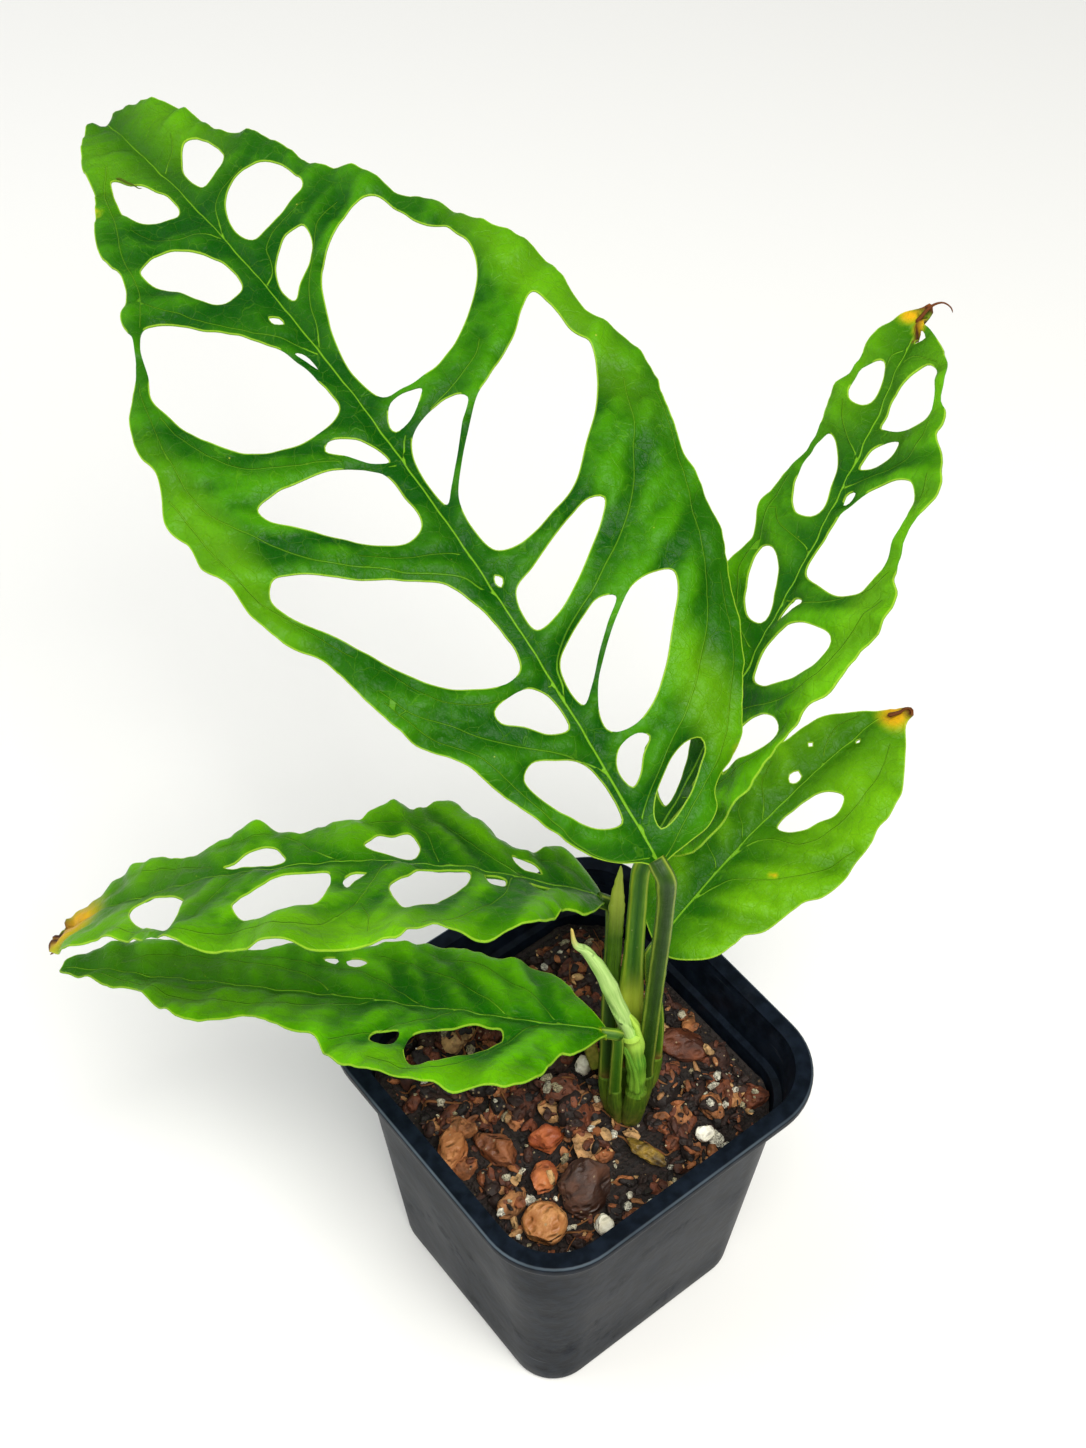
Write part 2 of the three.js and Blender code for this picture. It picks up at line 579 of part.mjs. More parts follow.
// Stalks
// Each stalk rises from the crown through its points and ends square to the midrib it carries.
const stalks = {
  a: { points: [[14.9, 11.3], [14.7, 11.2, 105], [15, 10.4, 130], [16.9, 9.2, 152], [18.4, 7.6, 167]],
    radii: [2.1, 1.9], colour: '#5d7420' },
  b: { points: [[9.5, 8.6], [8.7, 9.6, 103], [7.5, 10.2, 112], [6.2, 11.4, 126], [4.4, 13.2, 142],
    [3.4, 14.4, 151]],
    radii: [2.2, 2], colour: '#8aa12a' },
  c: { points: [[12.2, 15], [11.4, 15.2, 104], [9.4, 14, 119], [8.3, 14.4, 124.4]],
    radii: [1.6, 1.4], colour: '#6d8a22' },
  d: { points: [[8.8, 3.2], [5.4, 6, 102], [1.6, 9.2, 117], [-0.9, 11.3, 130], [-1.9, 11.7, 135]],
    radii: [2.1, 1.7], colour: '#56701e' },
  e: { points: [[13.2, 1.9], [13.1, 2, 100], [12.9, 2.2, 107], [12.6, 2, 110.2]],
    radii: [1.5, 1.3], colour: '#62802a' },
}
const budPoints = [[16.6, 5.5], [15.6, 5.9, 97], [12.9, 6.5, 103]]
const sheathRadius = 2.3
const sheathFlare = 0.5

// A stalk leaves the crown straight up, so that both have level ends there.
const standAt = ([x, y]) => [[x, y, crownTop + fitGap], [x, y, crownTop + levelRun]]

function stalkCurve(leaf, stalk) {
  const { along } = bladeAxes(leaf, 0)
  const seat = bladePoint(leaf, 0, 0, -ribDepth(0)).addScaledVector(along, -fitGap)
  const approach = seat.clone().addScaledVector(along, -seatRun)
  const [foot, ...rest] = stalk.points
  return curveThrough([...standAt(foot), ...rest, approach.toArray(), seat.toArray()])
}

// The free pointed flap of the sheath on the stalk of leaf d.
const flapPoints = [[4.2, 7.4, 108], [3, 8.4, 124], [2.8, 8.6, 138], [3.2, 8.4, 150]]
const flapRadii = [1.7, 0.35]

function sheathFlap() {
  return sweepRound(curveThrough(flapPoints), 8, (share) => THREE.MathUtils.lerp(...flapRadii, share * share))
}

function makeStalk(leaf) {
  const stalk = stalks[leaf.name]
  const curve = stalkCurve(leaf, stalk)
  const steps = Math.round(curve.getLength() / stalkStep)
  const [low, high] = stalk.radii
  const shaft = sweepRound(curve, steps, (share) => THREE.MathUtils.lerp(low, high, share))
  return toGeometry(leaf.name === 'd' ? join([shaft, sheathFlap()]) : toSolid(shaft))
}

// The crown is one grown piece: a buried knob and the clasping feet of every stalk.
function crownSolid(extra) {
  const knob = new THREE.SphereGeometry(crownKnob + extra, stalkSides, 8)
  knob.translate(crownRoot.x, crownRoot.y, crownRoot.z)
  const feet = [...Object.values(stalks).map((stalk) => [stalk.points[0], stalk.radii[0]]),
    [budPoints[0], sheathRadius]]
  const parts = feet.map(([[x, y], radius]) => {
    const middle = crownRoot.clone().lerp(new THREE.Vector3(x, y), 0.75).setZ(crownTop - footSpread)
    const spine = curveThrough(
      [crownRoot.toArray(), middle.toArray(), [x, y, crownTop - levelRun], [x, y, crownTop]])
    return sweepRound(spine, 6, (share) => THREE.MathUtils.lerp(1, radius, Math.min(1, share * 2)) + extra)
  })
  return join([knob, ...parts])
}

// The sheath that the new leaf comes out of. The leaf's foot, with its clearance, hollows its end.
function makeSheath() {
  const curve = curveThrough([...standAt(budPoints[0]), ...budPoints.slice(1)])
  const flare = (share) => sheathRadius + sheathFlare * share * share
  return toSolid(sweepRound(curve, 6, flare)).subtract(makeSpear(fitGap))
}

const spearCurve = () => curveThrough([
  [15.3, 6, 98.5], [12.9, 6.5, 103], [11.1, 5.9, 109], [8.8, 3.5, 120], [7.2, 1, 130],
  [5.2, -1.8, 138], [4.5, -3.9, 141], [4.2, -5.1, 148],
])
const spearRadii = [1.5, 2.1, 2.2, 2.1, 2, 1.7, 1.1, 0.5, 0.35]
const spearSteps = 16

function spearRadius(share, extra) {
  const place = Math.min(share * (spearRadii.length - 1), spearRadii.length - 1 - 1e-6)
  const index = Math.floor(place)
  return THREE.MathUtils.lerp(spearRadii[index], spearRadii[index + 1], place - index) + extra
}

const makeSpear = (extra) => toSolid(sweepRound(spearCurve(), spearSteps, (share) => spearRadius(share, extra)))

// Pot
const cornerSteps = 5
const footChamfer = 1
const rimChamfer = 0.5
const rampRise = 1 // height over which the wall steps out
const lipRamp = 0.2

// A ring of points on a square with rounded corners, at one height.
function roundedSquare(size, corner, height) {
  const ring = []
  for (let quarter = 0; quarter < 4; quarter += 1) {
    const middle = Math.PI / 4 + quarter * Math.PI / 2
    const cornerX = Math.sign(Math.cos(middle)) * (size / 2 - corner)
    const cornerY = Math.sign(Math.sin(middle)) * (size / 2 - corner)
    for (let i = 0; i <= cornerSteps; i += 1) {
      const angle = (quarter + i / cornerSteps) * Math.PI / 2
      ring.push(new THREE.Vector3(
        cornerX + corner * Math.cos(angle), cornerY + corner * Math.sin(angle), height))
    }
  }
  return ring
}

const bandSize = rimSize - 2 * lipOverhang
const stepHeight = potHeight - bandDepth

// Outside width of the wall at a height, with the step under the plain band.
function wallSize(height) {
  const slope = (bandSize - 2 * stepWidth - baseSize) / (potHeight - lipDepth)
  return baseSize + slope * height + (height >= stepHeight ? 2 * stepWidth : 0)
}

const cornerAt = (height) => THREE.MathUtils.lerp(baseCorner, rimCorner - 2, height / potHeight)

function wallRing(height, inset) {
  return roundedSquare(wallSize(height) - 2 * inset, cornerAt(height) - inset, height)
}

function makePot() {
  const below = stepHeight - rampRise
  const lipUnder = potHeight - lipDepth
  const rings = [
    roundedSquare(baseSize - 2 * footChamfer, baseCorner - footChamfer, 0),
    wallRing(footChamfer, 0),
    wallRing(below, 0),
    wallRing(stepHeight, 0),
    wallRing(lipUnder - lipRamp, 0),
    roundedSquare(rimSize, rimCorner, lipUnder),
    roundedSquare(rimSize, rimCorner, potHeight - rimChamfer),
    roundedSquare(rimSize - 2 * rimChamfer, rimCorner - rimChamfer, potHeight),
    roundedSquare(rimSize - 2 * rimBandWidth, rimCorner - rimBandWidth, potHeight),
    wallRing(lipUnder - lipRamp, potWall),
    wallRing(stepHeight, potWall),
    wallRing(below, potWall),
    wallRing(floorThickness, potWall),
  ]
  let pot = toSolid(skinRings(rings))
  for (const x of [-drainOffset, 0, drainOffset]) {
    for (const y of [-drainOffset, 0, drainOffset]) {
      if (x !== 0 || y !== 0) {
        const drain = new THREE.CylinderGeometry(drainDiameter / 2, drainDiameter / 2, 10, 12)
        drain.rotateX(Math.PI / 2)
        drain.translate(x, y, 0)
        pot = pot.subtract(toSolid(drain))
      }
    }
  }
  return pot
}

// Soil and its chips
const lumpRange = [0.82, 1.16]
const barkLength = [3.4, 8.4] // half length of a loose piece of bark
const soilMargin = 5 // bark pieces start this far in from the wall
const barkSink = 0.8

// A broken lump: a rough ball with its points drawn in and out, squeezed to three radii.
function lump(radii, spin, random, detail) {
  const ball = mergeVertices(new THREE.IcosahedronGeometry(1, detail).deleteAttribute('normal')
    .deleteAttribute('uv'), 1e-4)
  const place = ball.attributes.position
  for (let i = 0; i < place.count; i += 1) {
    const stretch = THREE.MathUtils.lerp(...lumpRange, random())
    place.setXYZ(i, place.getX(i) * stretch, place.getY(i) * stretch, place.getZ(i) * stretch)
  }
  ball.scale(...radii)
  ball.rotateX(spin[0])
  ball.rotateY(spin[1])
  ball.rotateZ(spin[2])
  return ball
}

// Loose pieces that show on top: place, radii, turn about Z and colour.
const chips = [
  { name: 'bark_ball', at: [25.2, -28, 75.5], radii: [5.4, 5, 4.8], spin: 0.4, colour: '#8a4a22' },
  { name: 'bark_round', at: [24.1, -14.5, 75.5], radii: [6.2, 4.6, 4.6], spin: 1.1, colour: '#3b1f12' },
  { name: 'bark_oblong', at: [3.4, -24.1, 74.5], radii: [7, 4, 3.6], spin: 0.3, colour: '#6b4a2a' },
  { name: 'bark_shell', at: [-3, -33, 74.5], radii: [6, 3.6, 4], spin: 2.5, colour: '#a06a3e' },
  { name: 'bark_red_1', at: [8, -14, 74.5], radii: [4.2, 3.4, 3.2], spin: 0.8, colour: '#5a2313' },
  { name: 'bark_red_2', at: [15.5, -21, 74.5], radii: [4.6, 3.4, 3.2], spin: 2, colour: '#662a16' },
  { name: 'bark_back', at: [8, 28, 74], radii: [7, 4.4, 4], spin: 0.6, colour: '#50291a' },
  { name: 'chip_ochre', at: [26.5, 3.5, 75], radii: [5.2, 3, 2.6], spin: 1.3, colour: '#b08a3a' },
  { name: 'perlite_1', at: [33.8, -17.5, 74.8], radii: [2.6, 2.3, 2.2], spin: 0, colour: '#d9d2c0' },
  { name: 'perlite_2', at: [30, 16, 74.8], radii: [2.4, 2.2, 2], spin: 1, colour: '#dcd6c8' },
  { name: 'perlite_3', at: [-17, -12, 74.8], radii: [2.6, 2.1, 2.1], spin: 2, colour: '#d6cfbe' },
  { name: 'perlite_4', at: [-2, 5, 74.8], radii: [2.4, 2.2, 2.1], spin: 3, colour: '#dad3c2' },
]

function chipSolid(chip, index, extra) {
  const random = seededRandom(soilSeed + 31 * index)
  const spin = [0.3 * random(), 0.3 * random(), chip.spin]
  const geometry = lump(chip.radii.map((radius) => radius + extra), spin, random, 1)
  geometry.translate(...chip.at)
  return toSolid(geometry)
}

// The room inside the pot, clear of its walls, straight up past the rim from the wall's step.
function potInside() {
  const inset = potWall + fitGap
  const top = wallRing(stepHeight - rampRise, inset)
  return toSolid(skinRings([
    wallRing(floorThickness + fitGap, inset),
    top,
    top.map((point) => point.clone().setZ(potHeight)),
  ]))
}

function makeSoil(crownHole, chipHoles) {
  const random = seededRandom(soilSeed)
  const reach = wallSize(soilTop) / 2 - soilMargin
  const mix = new THREE.BoxGeometry(2 * rimSize, 2 * rimSize, 2 * soilTop)
  let soil = toSolid(mix)
  for (let i = 0; i < barkPieceCount; i += 1) {
    const length = THREE.MathUtils.lerp(...barkLength, random())
    const radii = [length, length * (0.5 + 0.3 * random()), length * (0.35 + 0.3 * random())]
    const piece = lump(radii, [random(), random(), 2 * Math.PI * random()], random, 0)
    const within = () => 2 * random() - 1
    piece.translate(within() * reach, within() * reach, soilTop + within() * barkSink)
    soil = soil.add(toSolid(piece))
  }
  soil = soil.intersect(potInside())
  for (const hole of [crownHole, ...chipHoles]) {
    soil = soil.subtract(hole)
  }
  return soil.decompose().sort((a, b) => b.volume() - a.volume())[0]
}

// Materials and assembly
const group = new THREE.Group()

function addPiece(name, geometry, colour, roughness) {
  const material = new THREE.MeshStandardMaterial({ color: colour, roughness, metalness: 0 })
  const mesh = new THREE.Mesh(geometry, material)
  mesh.name = name
  group.add(mesh)
}

addPiece('pot', toGeometry(makePot()), '#16181c', 0.45)
addPiece('soil', toGeometry(makeSoil(crownSolid(fitGap), chips.map((chip, i) => chipSolid(chip, i, fitGap)))),
  '#2e1a10', 0.95)
chips.forEach((chip, i) => addPiece(chip.name, toGeometry(chipSolid(chip, i, 0)), chip.colour, 0.9))
addPiece('crown', toGeometry(crownSolid(0)), '#5f7a20', 0.5)
for (const leaf of leaves) {
  leaf.midrib = midribPoints(leaf)
  addPiece(`stalk_${leaf.name}`, makeStalk(leaf), stalks[leaf.name].colour, 0.45)
  addPiece(`blade_${leaf.name}`, makeBlade(leaf), leaf.colour, 0.35)
}
addPiece('bud_sheath', toGeometry(makeSheath()), '#86a53a', 0.5)
addPiece('new_leaf', toGeometry(makeSpear(0)), '#9dbf6a', 0.55)

export default group
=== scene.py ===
# Looks of the potted monstera obliqua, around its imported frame.
# Lengths in the tables are millimetres in the frame's axes: +Z up, the pot's underside at z = 0.

import math

import bmesh
import bpy
import numpy as np
from mathutils import Matrix, Vector, noise
from mathutils.bvhtree import BVHTree
from mathutils.geometry import delaunay_2d_cdt


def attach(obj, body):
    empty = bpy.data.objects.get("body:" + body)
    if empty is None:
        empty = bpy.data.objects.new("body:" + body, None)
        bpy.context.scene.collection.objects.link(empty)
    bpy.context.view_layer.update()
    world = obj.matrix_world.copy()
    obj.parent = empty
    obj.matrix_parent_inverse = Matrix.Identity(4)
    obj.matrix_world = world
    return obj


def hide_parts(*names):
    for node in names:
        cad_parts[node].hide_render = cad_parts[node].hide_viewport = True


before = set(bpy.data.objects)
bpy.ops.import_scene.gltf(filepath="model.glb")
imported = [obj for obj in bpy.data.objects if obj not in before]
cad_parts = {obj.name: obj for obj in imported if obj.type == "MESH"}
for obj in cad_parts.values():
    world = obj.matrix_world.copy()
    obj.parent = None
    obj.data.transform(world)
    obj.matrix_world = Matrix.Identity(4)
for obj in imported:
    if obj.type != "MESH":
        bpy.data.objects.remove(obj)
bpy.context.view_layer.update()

MM = 0.001
SEED = 7
ORIGIN = (0, 0, 0)
FACING = (0.62, -0.5, 0.6)  # where a stem's front looks: towards the camera

# Camera, solved from the four corners of the pot's rim
IMAGE_HEIGHT = 1448
FOCAL_PIXELS = 2116
SENSOR = 36
AZIMUTH, ELEVATION, TILT = 51.2, 49.8, 0.7
DISTANCE = 491.7
SIDEWAYS, UPWARDS = -6.9, 75.3
TARGET = np.array([0, 0, 90.0])

# Lights in metres and watts: name, place, size, power, colour
LIGHTS = [("window light", (0.6, -0.15, 1.3), 0.75, 24, (1, 0.99, 0.95)),
          ("fill light", (-0.7, -0.6, 0.9), 1.4, 8, (0.95, 0.98, 1))]
LIGHT_AIM = (0, 0, 0.12)
WORLD_STRENGTH = 0.42
FLOOR_REACH = 4

# Pot
POT_HEIGHT = 90
RIM_SIZE = 90
BASE_SIZE = 66
POT_WALL = 1.2
FLOOR = 1.6
LIP_DEPTH = 3
BAND_SIZE = 83
RIM_BAND = 4.2
STEP_HEIGHT = 77
STEP = 1.2
RIM_CORNER = 18.5
BASE_CORNER = 11
DRAIN_RADIUS = 3.5
DRAIN_OFFSET = 19
DRAIN_SIDES = 28
PAINTED_HIGHLIGHT_RINGS = [20, 30, 31, 35]  # rings of the pot that get a painted highlight: on its step and on the two edges of its rim
SOIL_TOP = 72
BED_RINGS, BED_STEPS = 117, 60  # rings of the mix's top, and steps around a quarter of it
INSIDE = 37.4  # how far from the middle the placed pieces may reach
EDGE_ROOM = 1.5
BED_LUMPS = 420
FIBRES, FIBRE_POINTS = 46, 6
FIBRE_SPREAD, FIBRE_REACH = 34, 37.5  # where fibres start, and how far from the middle they reach
ABOVE_ALL = 110  # height that the loose pieces are dropped from
CROWN_TOP = 88
CROWN_ROOT = (13, 6, 60)
CROWN_MIDDLE = (12.3, 7.5)
CROWN_ROOM = 5.2  # how far loose pieces stay from the crown

# Blades
THICKNESS = 0.6
MARGIN_THICKNESS = 0.36
GRID = 1.15
LINE_SPACING = 0.9
BEND_STEPS = 48
# Room between the grid's points and the margins, veins and midrib, and at the ends of the veins
MARGIN_ROOM, VEIN_ROOM, RIB_ROOM, LINE_ROOM = 0.55, 0.5, 0.4, 0.25
MIDRIB_WIDTH = 0.15  # pale line on a midrib, as a share of its radius
VEIN_WIDTH = 0.3
# How far each blade's margin is crinkled out of its surface
RUFFLE = {"a": 1.7, "b": 1.2, "c": 0.8, "d": 1.1, "e": 1}
PUCKER = 1.1  # ripples across each half of a blade
# Name of each blade's material and its two greens
LEAF_LOOKS = {
    "a": ("large leaf", "#084400", "#3a7c00"), "b": ("upright leaf", "#0e4a00", "#4e9200"),
    "c": ("small leaf", "#185200", "#5a9604"), "d": ("upper long leaf", "#125000", "#579a00"),
    "e": ("lower long leaf", "#125400", "#5aa800"),
}
VEIN_GREEN = "#649a1a"
VEIN_SOFTNESS = 0.12
NET_SCALE = 26  # cells of the coarse net of veins in 100 mm
FINE_NET = 3.1  # how much finer the second net is
NET_WIDTH = 0.03

# Each blade is drawn flat, u along its midrib from the stalk and v across it, then bent.
# Angles are degrees. fold lifts both halves at the midrib, droop bends them down again by its
# degrees for each 100 mm, and waves (height, spacing, phase) ripple the left and right halves.
LEAVES = {
    "a": dict(
        base=(17.2, 6.7, 174), length=223, heading=181.7, bend=-6,
        pitch=(41, -9), roll=-10, fold=8, droop=25, half_width=50,
        waves=((1.2, 30, 0.1), (1.2, 27, 0.4)),
        outline=[(0, 0), (2.5, 3), (4.5, 6.5), (8, 10.5), (14, 14.3), (20, 17), (30, 21.5),
         (38, 24.5), (45, 30), (52, 32.5), (60, 34.7), (68, 36.3), (76, 41), (85, 43.5), (92, 44),
         (98, 46.5), (104, 46), (110, 47.5), (116, 45), (121, 43), (127, 43.5), (134, 41.5),
         (140, 37.5), (146, 33), (152, 30), (158, 29.5), (163, 25.5), (170, 23), (178, 23.5),
         (186, 20.5), (193, 16.5), (200, 14), (208, 12.5), (214, 9.5), (220, 6), (223.5, 2.5),
         (221.5, 0), (223.5, -3), (222, -7), (218, -10.5), (210, -14), (202, -15.5), (193, -17.5),
         (190, -21), (180, -24), (170.5, -26), (165.5, -28.5), (162.5, -31.5), (156.5, -34),
         (151.5, -35.5), (146.5, -40), (140, -43), (132.5, -45.5), (124.5, -50), (114.5, -51.5),
         (104, -50.5), (99, -53), (93, -55), (85.5, -54.8), (79, -52), (70, -50), (60, -49),
         (50, -46.5), (44, -44), (36, -41), (28, -37), (20, -31.5), (14.5, -28), (11, -24),
         (9.5, -20), (7, -17), (4.5, -16), (2, -12.5), (1.2, -8), (0.6, -4)],
        holes=[
            [(11.5, 2.5), (13, 7.5), (18, 11.5), (24, 14.5), (29, 15.5), (31, 12.5), (29, 8),
             (26, 3.5), (20, 1.7), (14, 1.5)],
            [(33, 2.3), (34, 6), (38, 10), (41, 13.5), (43.5, 13.5), (44.5, 9), (44, 5), (41, 2.2),
             (36, 1.5)],
            [(48, 4.5), (47, 8), (49, 14), (54, 21), (62, 26.5), (72, 32), (81, 37.5), (86, 38.5),
             (88.5, 36), (86, 30), (80, 22), (75, 14), (70, 7.5), (64, 5), (58, 3.5), (52, 3)],
            [(83, 5), (81.5, 9), (84, 14.5), (89, 20), (95, 26), (100, 30.5), (103, 30.5),
             (104, 26), (103.5, 20), (103, 15), (100.5, 9), (97, 5), (90, 4)],
            [(98.5, 2.3), (100, 6), (104, 9.5), (107, 12), (108.5, 10.5), (106, 5.5), (102, 3)],
            [(114, 4.2), (111.3, 10), (111.5, 17.5), (115.5, 26), (122, 31), (129.5, 33.7),
             (137, 34.5), (143, 32), (149, 30), (153.5, 26.5), (152, 22), (146, 17), (140, 11),
             (134, 7.3), (126.5, 4.7), (119, 3.9)],
            [(124.5, 2.4), (127.3, 3.5), (130.2, 4.6), (129.7, 3.1), (127, 2.2)],
            [(151, 4.5), (150, 10), (153, 13.5), (158, 16), (163, 19), (167, 19.5), (170, 15.5),
             (169.5, 11), (166, 6.5), (160, 4), (154, 3.5)],
            [(137.8, 2.4), (138.8, 4), (141.2, 3.8), (140, 2.2)],
            [(178, 4.5), (178.5, 7.5), (181, 12), (185, 13.5), (191, 12.5), (196, 11), (199, 9.5),
             (196, 8), (190, 5), (185, 3), (180, 3)],
            [(6.5, -3.8), (6.5, -6), (7.7, -9.2), (10, -13.2), (12.6, -16.4), (15.6, -19.6),
             (17.8, -20), (18.6, -17.5), (17.5, -13.3), (14.7, -9), (11.5, -5.3), (8.7, -3.7)],
            [(16.5, -3), (18, -5.5), (21, -8), (23.5, -11), (25.2, -9.3), (24.8, -5), (22, -2.5),
             (18.5, -2.2)],
            [(27.6, -5.7), (27, -10), (29.3, -15.7), (34, -21.5), (40, -27), (45, -31.5),
             (49, -33), (50.5, -30), (50.5, -24), (47, -18), (42, -12), (38, -8), (33, -5),
             (29, -4.5)],
            [(35.5, -3), (38, -6.5), (43, -11.5), (47, -16), (50.5, -20), (52, -17), (50.5, -12.5),
             (48, -7.5), (45, -3.5), (40, -2.2)],
            [(53, -3), (53.5, -8), (57, -15), (61, -21), (65, -26.5), (68.5, -29.5), (70, -27),
             (69, -22), (66.5, -15), (64, -9), (62, -4), (57, -2.3)],
            [(64.2, -1.8), (65.5, -2.9), (66.8, -2), (65.5, -1.3)],
            [(71, -5), (69.5, -10), (71.5, -19), (74, -26), (80, -33), (86, -40), (92, -44.5),
             (98, -46.5), (103, -45), (110, -45), (114, -44), (112, -40), (107, -34), (103, -26),
             (100, -20), (95.5, -15), (90, -9.5), (84, -4.8), (78, -3.7)],
            [(84.5, -2.2), (87, -5), (92, -9.8), (97, -14.4), (101, -18.5), (103, -17), (103, -10),
             (101, -5), (97, -2.4), (90, -1.4)],
            [(103.5, -2.5), (104, -6.5), (106, -10), (108, -12), (109, -9), (109, -5), (107, -3),
             (105, -2.1)],
            [(111, -4.5), (110, -9), (110.3, -17), (113, -24), (119, -32), (125, -37.5),
             (131, -39.5), (138, -38), (141, -35), (147, -33), (153, -31), (153.5, -26),
             (151, -20), (147, -14), (142, -10), (136, -7), (128, -4), (119, -2.6)],
            [(141.5, -2.8), (144, -6), (148, -10.7), (153, -14.3), (157, -14.5), (157.5, -11),
             (154.5, -7), (150, -3.5), (145, -2)],
            [(161, -4.5), (162, -10), (164, -16), (166.5, -21), (171, -21.3), (177, -20),
             (179.5, -16), (180, -12), (177, -8), (172, -4.5), (165, -3)],
            [(182, -4.5), (183, -8), (186, -12.5), (192, -13), (197, -11.5), (198, -9),
             (194, -5.5), (188, -3.5)],
        ],
    ),
    "b": dict(
        base=(3.1, 15.8, 156.3), length=130.9, heading=95.8, bend=22.9,
        pitch=(55.3, 15.3), roll=-23, fold=10, droop=30, half_width=28,
        waves=((1, 24, 0.2), (1, 24, 0.55)),
        outline=[(0, 0), (3.5, 4.5), (8.5, 9), (16.5, 12.5), (27, 15), (39, 17), (51.5, 16.5),
         (62.5, 16.5), (70.5, 14.5), (79, 16), (87, 14), (95, 12), (101.5, 11.5), (109.5, 12.5),
         (115, 9.5), (123, 8.5), (128, 5.5), (131.5, 2), (132.4, -2), (130.3, -1.4), (127.8, -1.6),
         (125.6, -4.2), (121, -8.7), (115.7, -12.7), (112, -14.2), (108.3, -14.3), (106, -16.5),
         (101, -17), (96.5, -20.5), (90, -24), (84, -22.5), (79, -21.3), (74, -22.5),
         (69.5, -26.5), (63.5, -28), (57, -25.5), (50, -25), (44.5, -22), (39, -21), (30, -19.3),
         (21.5, -18.5), (18, -17), (13.5, -16.5), (10, -15), (6.5, -11.5), (3, -5.5)],
        holes=[
            [(54.5, 2.5), (54.5, 6), (58.5, 9.5), (64.5, 11), (69.5, 11.3), (70, 8.5), (67, 5),
             (60.5, 2.5), (56.5, 1.7)],
            [(79, 3.4), (79, 7.3), (82.5, 10), (88, 11.2), (94.5, 10.9), (98.3, 9), (97, 6.8),
             (92.5, 4), (86.5, 2.4), (81.5, 1.9)],
            [(106, 4), (107.5, 8), (113, 8.5), (117, 6.3), (117.5, 4), (114, 2.5), (108, 2.2)],
            [(44, -2.2), (43.5, -6), (45.5, -10.5), (50, -15.5), (55, -18), (58, -17.3),
             (58.5, -13), (57.5, -7.5), (53.5, -3.5), (47.5, -1.6)],
            [(56.5, -1.6), (59, -3.6), (62, -5), (61.8, -2.7), (59.5, -1.5)],
            [(67.5, -2), (66, -7.5), (65.5, -13.5), (68, -18.8), (73, -19.8), (78, -19), (82, -20),
             (87, -19.3), (90.3, -17), (88.5, -10), (85, -5.5), (79.5, -2.5), (72, -1.6)],
            [(83.5, -1.6), (85.5, -1.5), (86.6, -3), (86.4, -4.1), (84.9, -4), (83.5, -2.9)],
            [(92, -1.4), (95, -1.4), (97.8, -3.2), (99, -6), (98.7, -8.4), (96.2, -8.6),
             (93.6, -6.2), (92, -3.5)],
            [(101.8, -1.9), (104.8, -1.9), (110.5, -2.6), (115.5, -4.8), (117, -6.6), (116.2, -9),
             (113, -11.3), (109.3, -12.6), (105.5, -12.8), (102.7, -11), (101.2, -7.5),
             (101.2, -3.8)],
            [(122.8, -1.1), (126.2, -1.2), (124, -3.3)],
            [(25, -10), (29, -12), (32, -15), (36.5, -17.5), (39.5, -16), (39.5, -12.5), (37, -9),
             (29.5, -7)],
            [(7, -1.7), (9, -4.5), (13, -7), (16, -5), (13.5, -2.5), (9.5, -1.6)],
            [(18.5, -2), (19.5, -4.3), (23, -6), (25.5, -4.5), (22.5, -2)],
            [(10.5, 2), (13.5, 6.5), (19.5, 9.5), (28, 10.5), (30, 8), (24.5, 3.5), (17.5, 1.8)],
            [(33, 2.2), (34, 7), (39, 11), (45.5, 11.5), (47.5, 8), (43, 3.5), (38, 2)],
        ],
    ),
    "c": dict(
        base=(7.9, 16.4, 126.9), length=74, heading=102.8, bend=-17,
        pitch=(15.5, 19.8), roll=8, fold=8, droop=30, half_width=24,
        waves=((0, 22, 0.2), (0, 22, 0)),
        outline=[(0, 0), (3.5, 6), (8, 10), (14, 13.5), (22, 15.5), (31, 16), (39, 15), (47, 12.5),
         (54, 10), (60, 9.5), (66, 7.5), (70, 4.5), (73.5, 2), (77.5, -0.5), (80, -4),
         (76.5, -5.5), (73, -9.5), (69, -13.5), (64, -17.5), (58, -19.5), (54, -20), (50, -21.5),
         (44, -22), (38, -23), (32, -22), (28, -19.5), (22, -18.5), (16, -16.5), (13.5, -14.5),
         (10.5, -14), (5.5, -12.5), (1.5, -8.5), (-0.8, -4)],
        holes=[
            [(38.5, -3), (39.3, -5.5), (42, -8), (46, -9.5), (51, -10.5), (54, -9), (53, -6.5),
             (50, -4.2), (45, -3)],
            [(48, 2.2), (49.3, 3.5), (51.3, 2.8), (51, 1.5), (49, 1.2)],
            [(57, 5.4), (57.5, 6.1), (58.2, 5.5), (57.6, 4.9)],
            [(65.4, -1), (65.9, -0.4), (66.6, -0.9), (66, -1.5)],
        ],
    ),
    "d": dict(
        base=(-2.7, 10.3, 138), length=132.6, heading=235.9, bend=-5.4,
        pitch=(34.6, -45.5), roll=22, fold=8, droop=30, half_width=30,
        waves=((2.4, 23, 0.315), (1.8, 30, 0.583)),
        outline=[(0, 0), (2.5, 4), (6.5, 9), (9.5, 11), (14, 12), (18, 18), (22.5, 22.5),
         (28, 24.5), (31.5, 26.5), (38, 27.5), (42.5, 29), (46, 31), (48, 33.5), (52, 33),
         (57.5, 33), (62, 35), (65.5, 35), (71.5, 32), (79, 29.5), (84, 29.5), (88.5, 27),
         (99, 20.5), (105, 17.5), (109.5, 16), (114, 17), (120.5, 14), (125, 11), (128, 5),
         (131.5, -0.5), (132, -2.5), (127, -3.5), (123, -6), (120, -10), (115, -12.5),
         (109.5, -13), (104, -12.5), (98, -10.5), (92, -11), (86, -14.5), (79.5, -16), (76, -14),
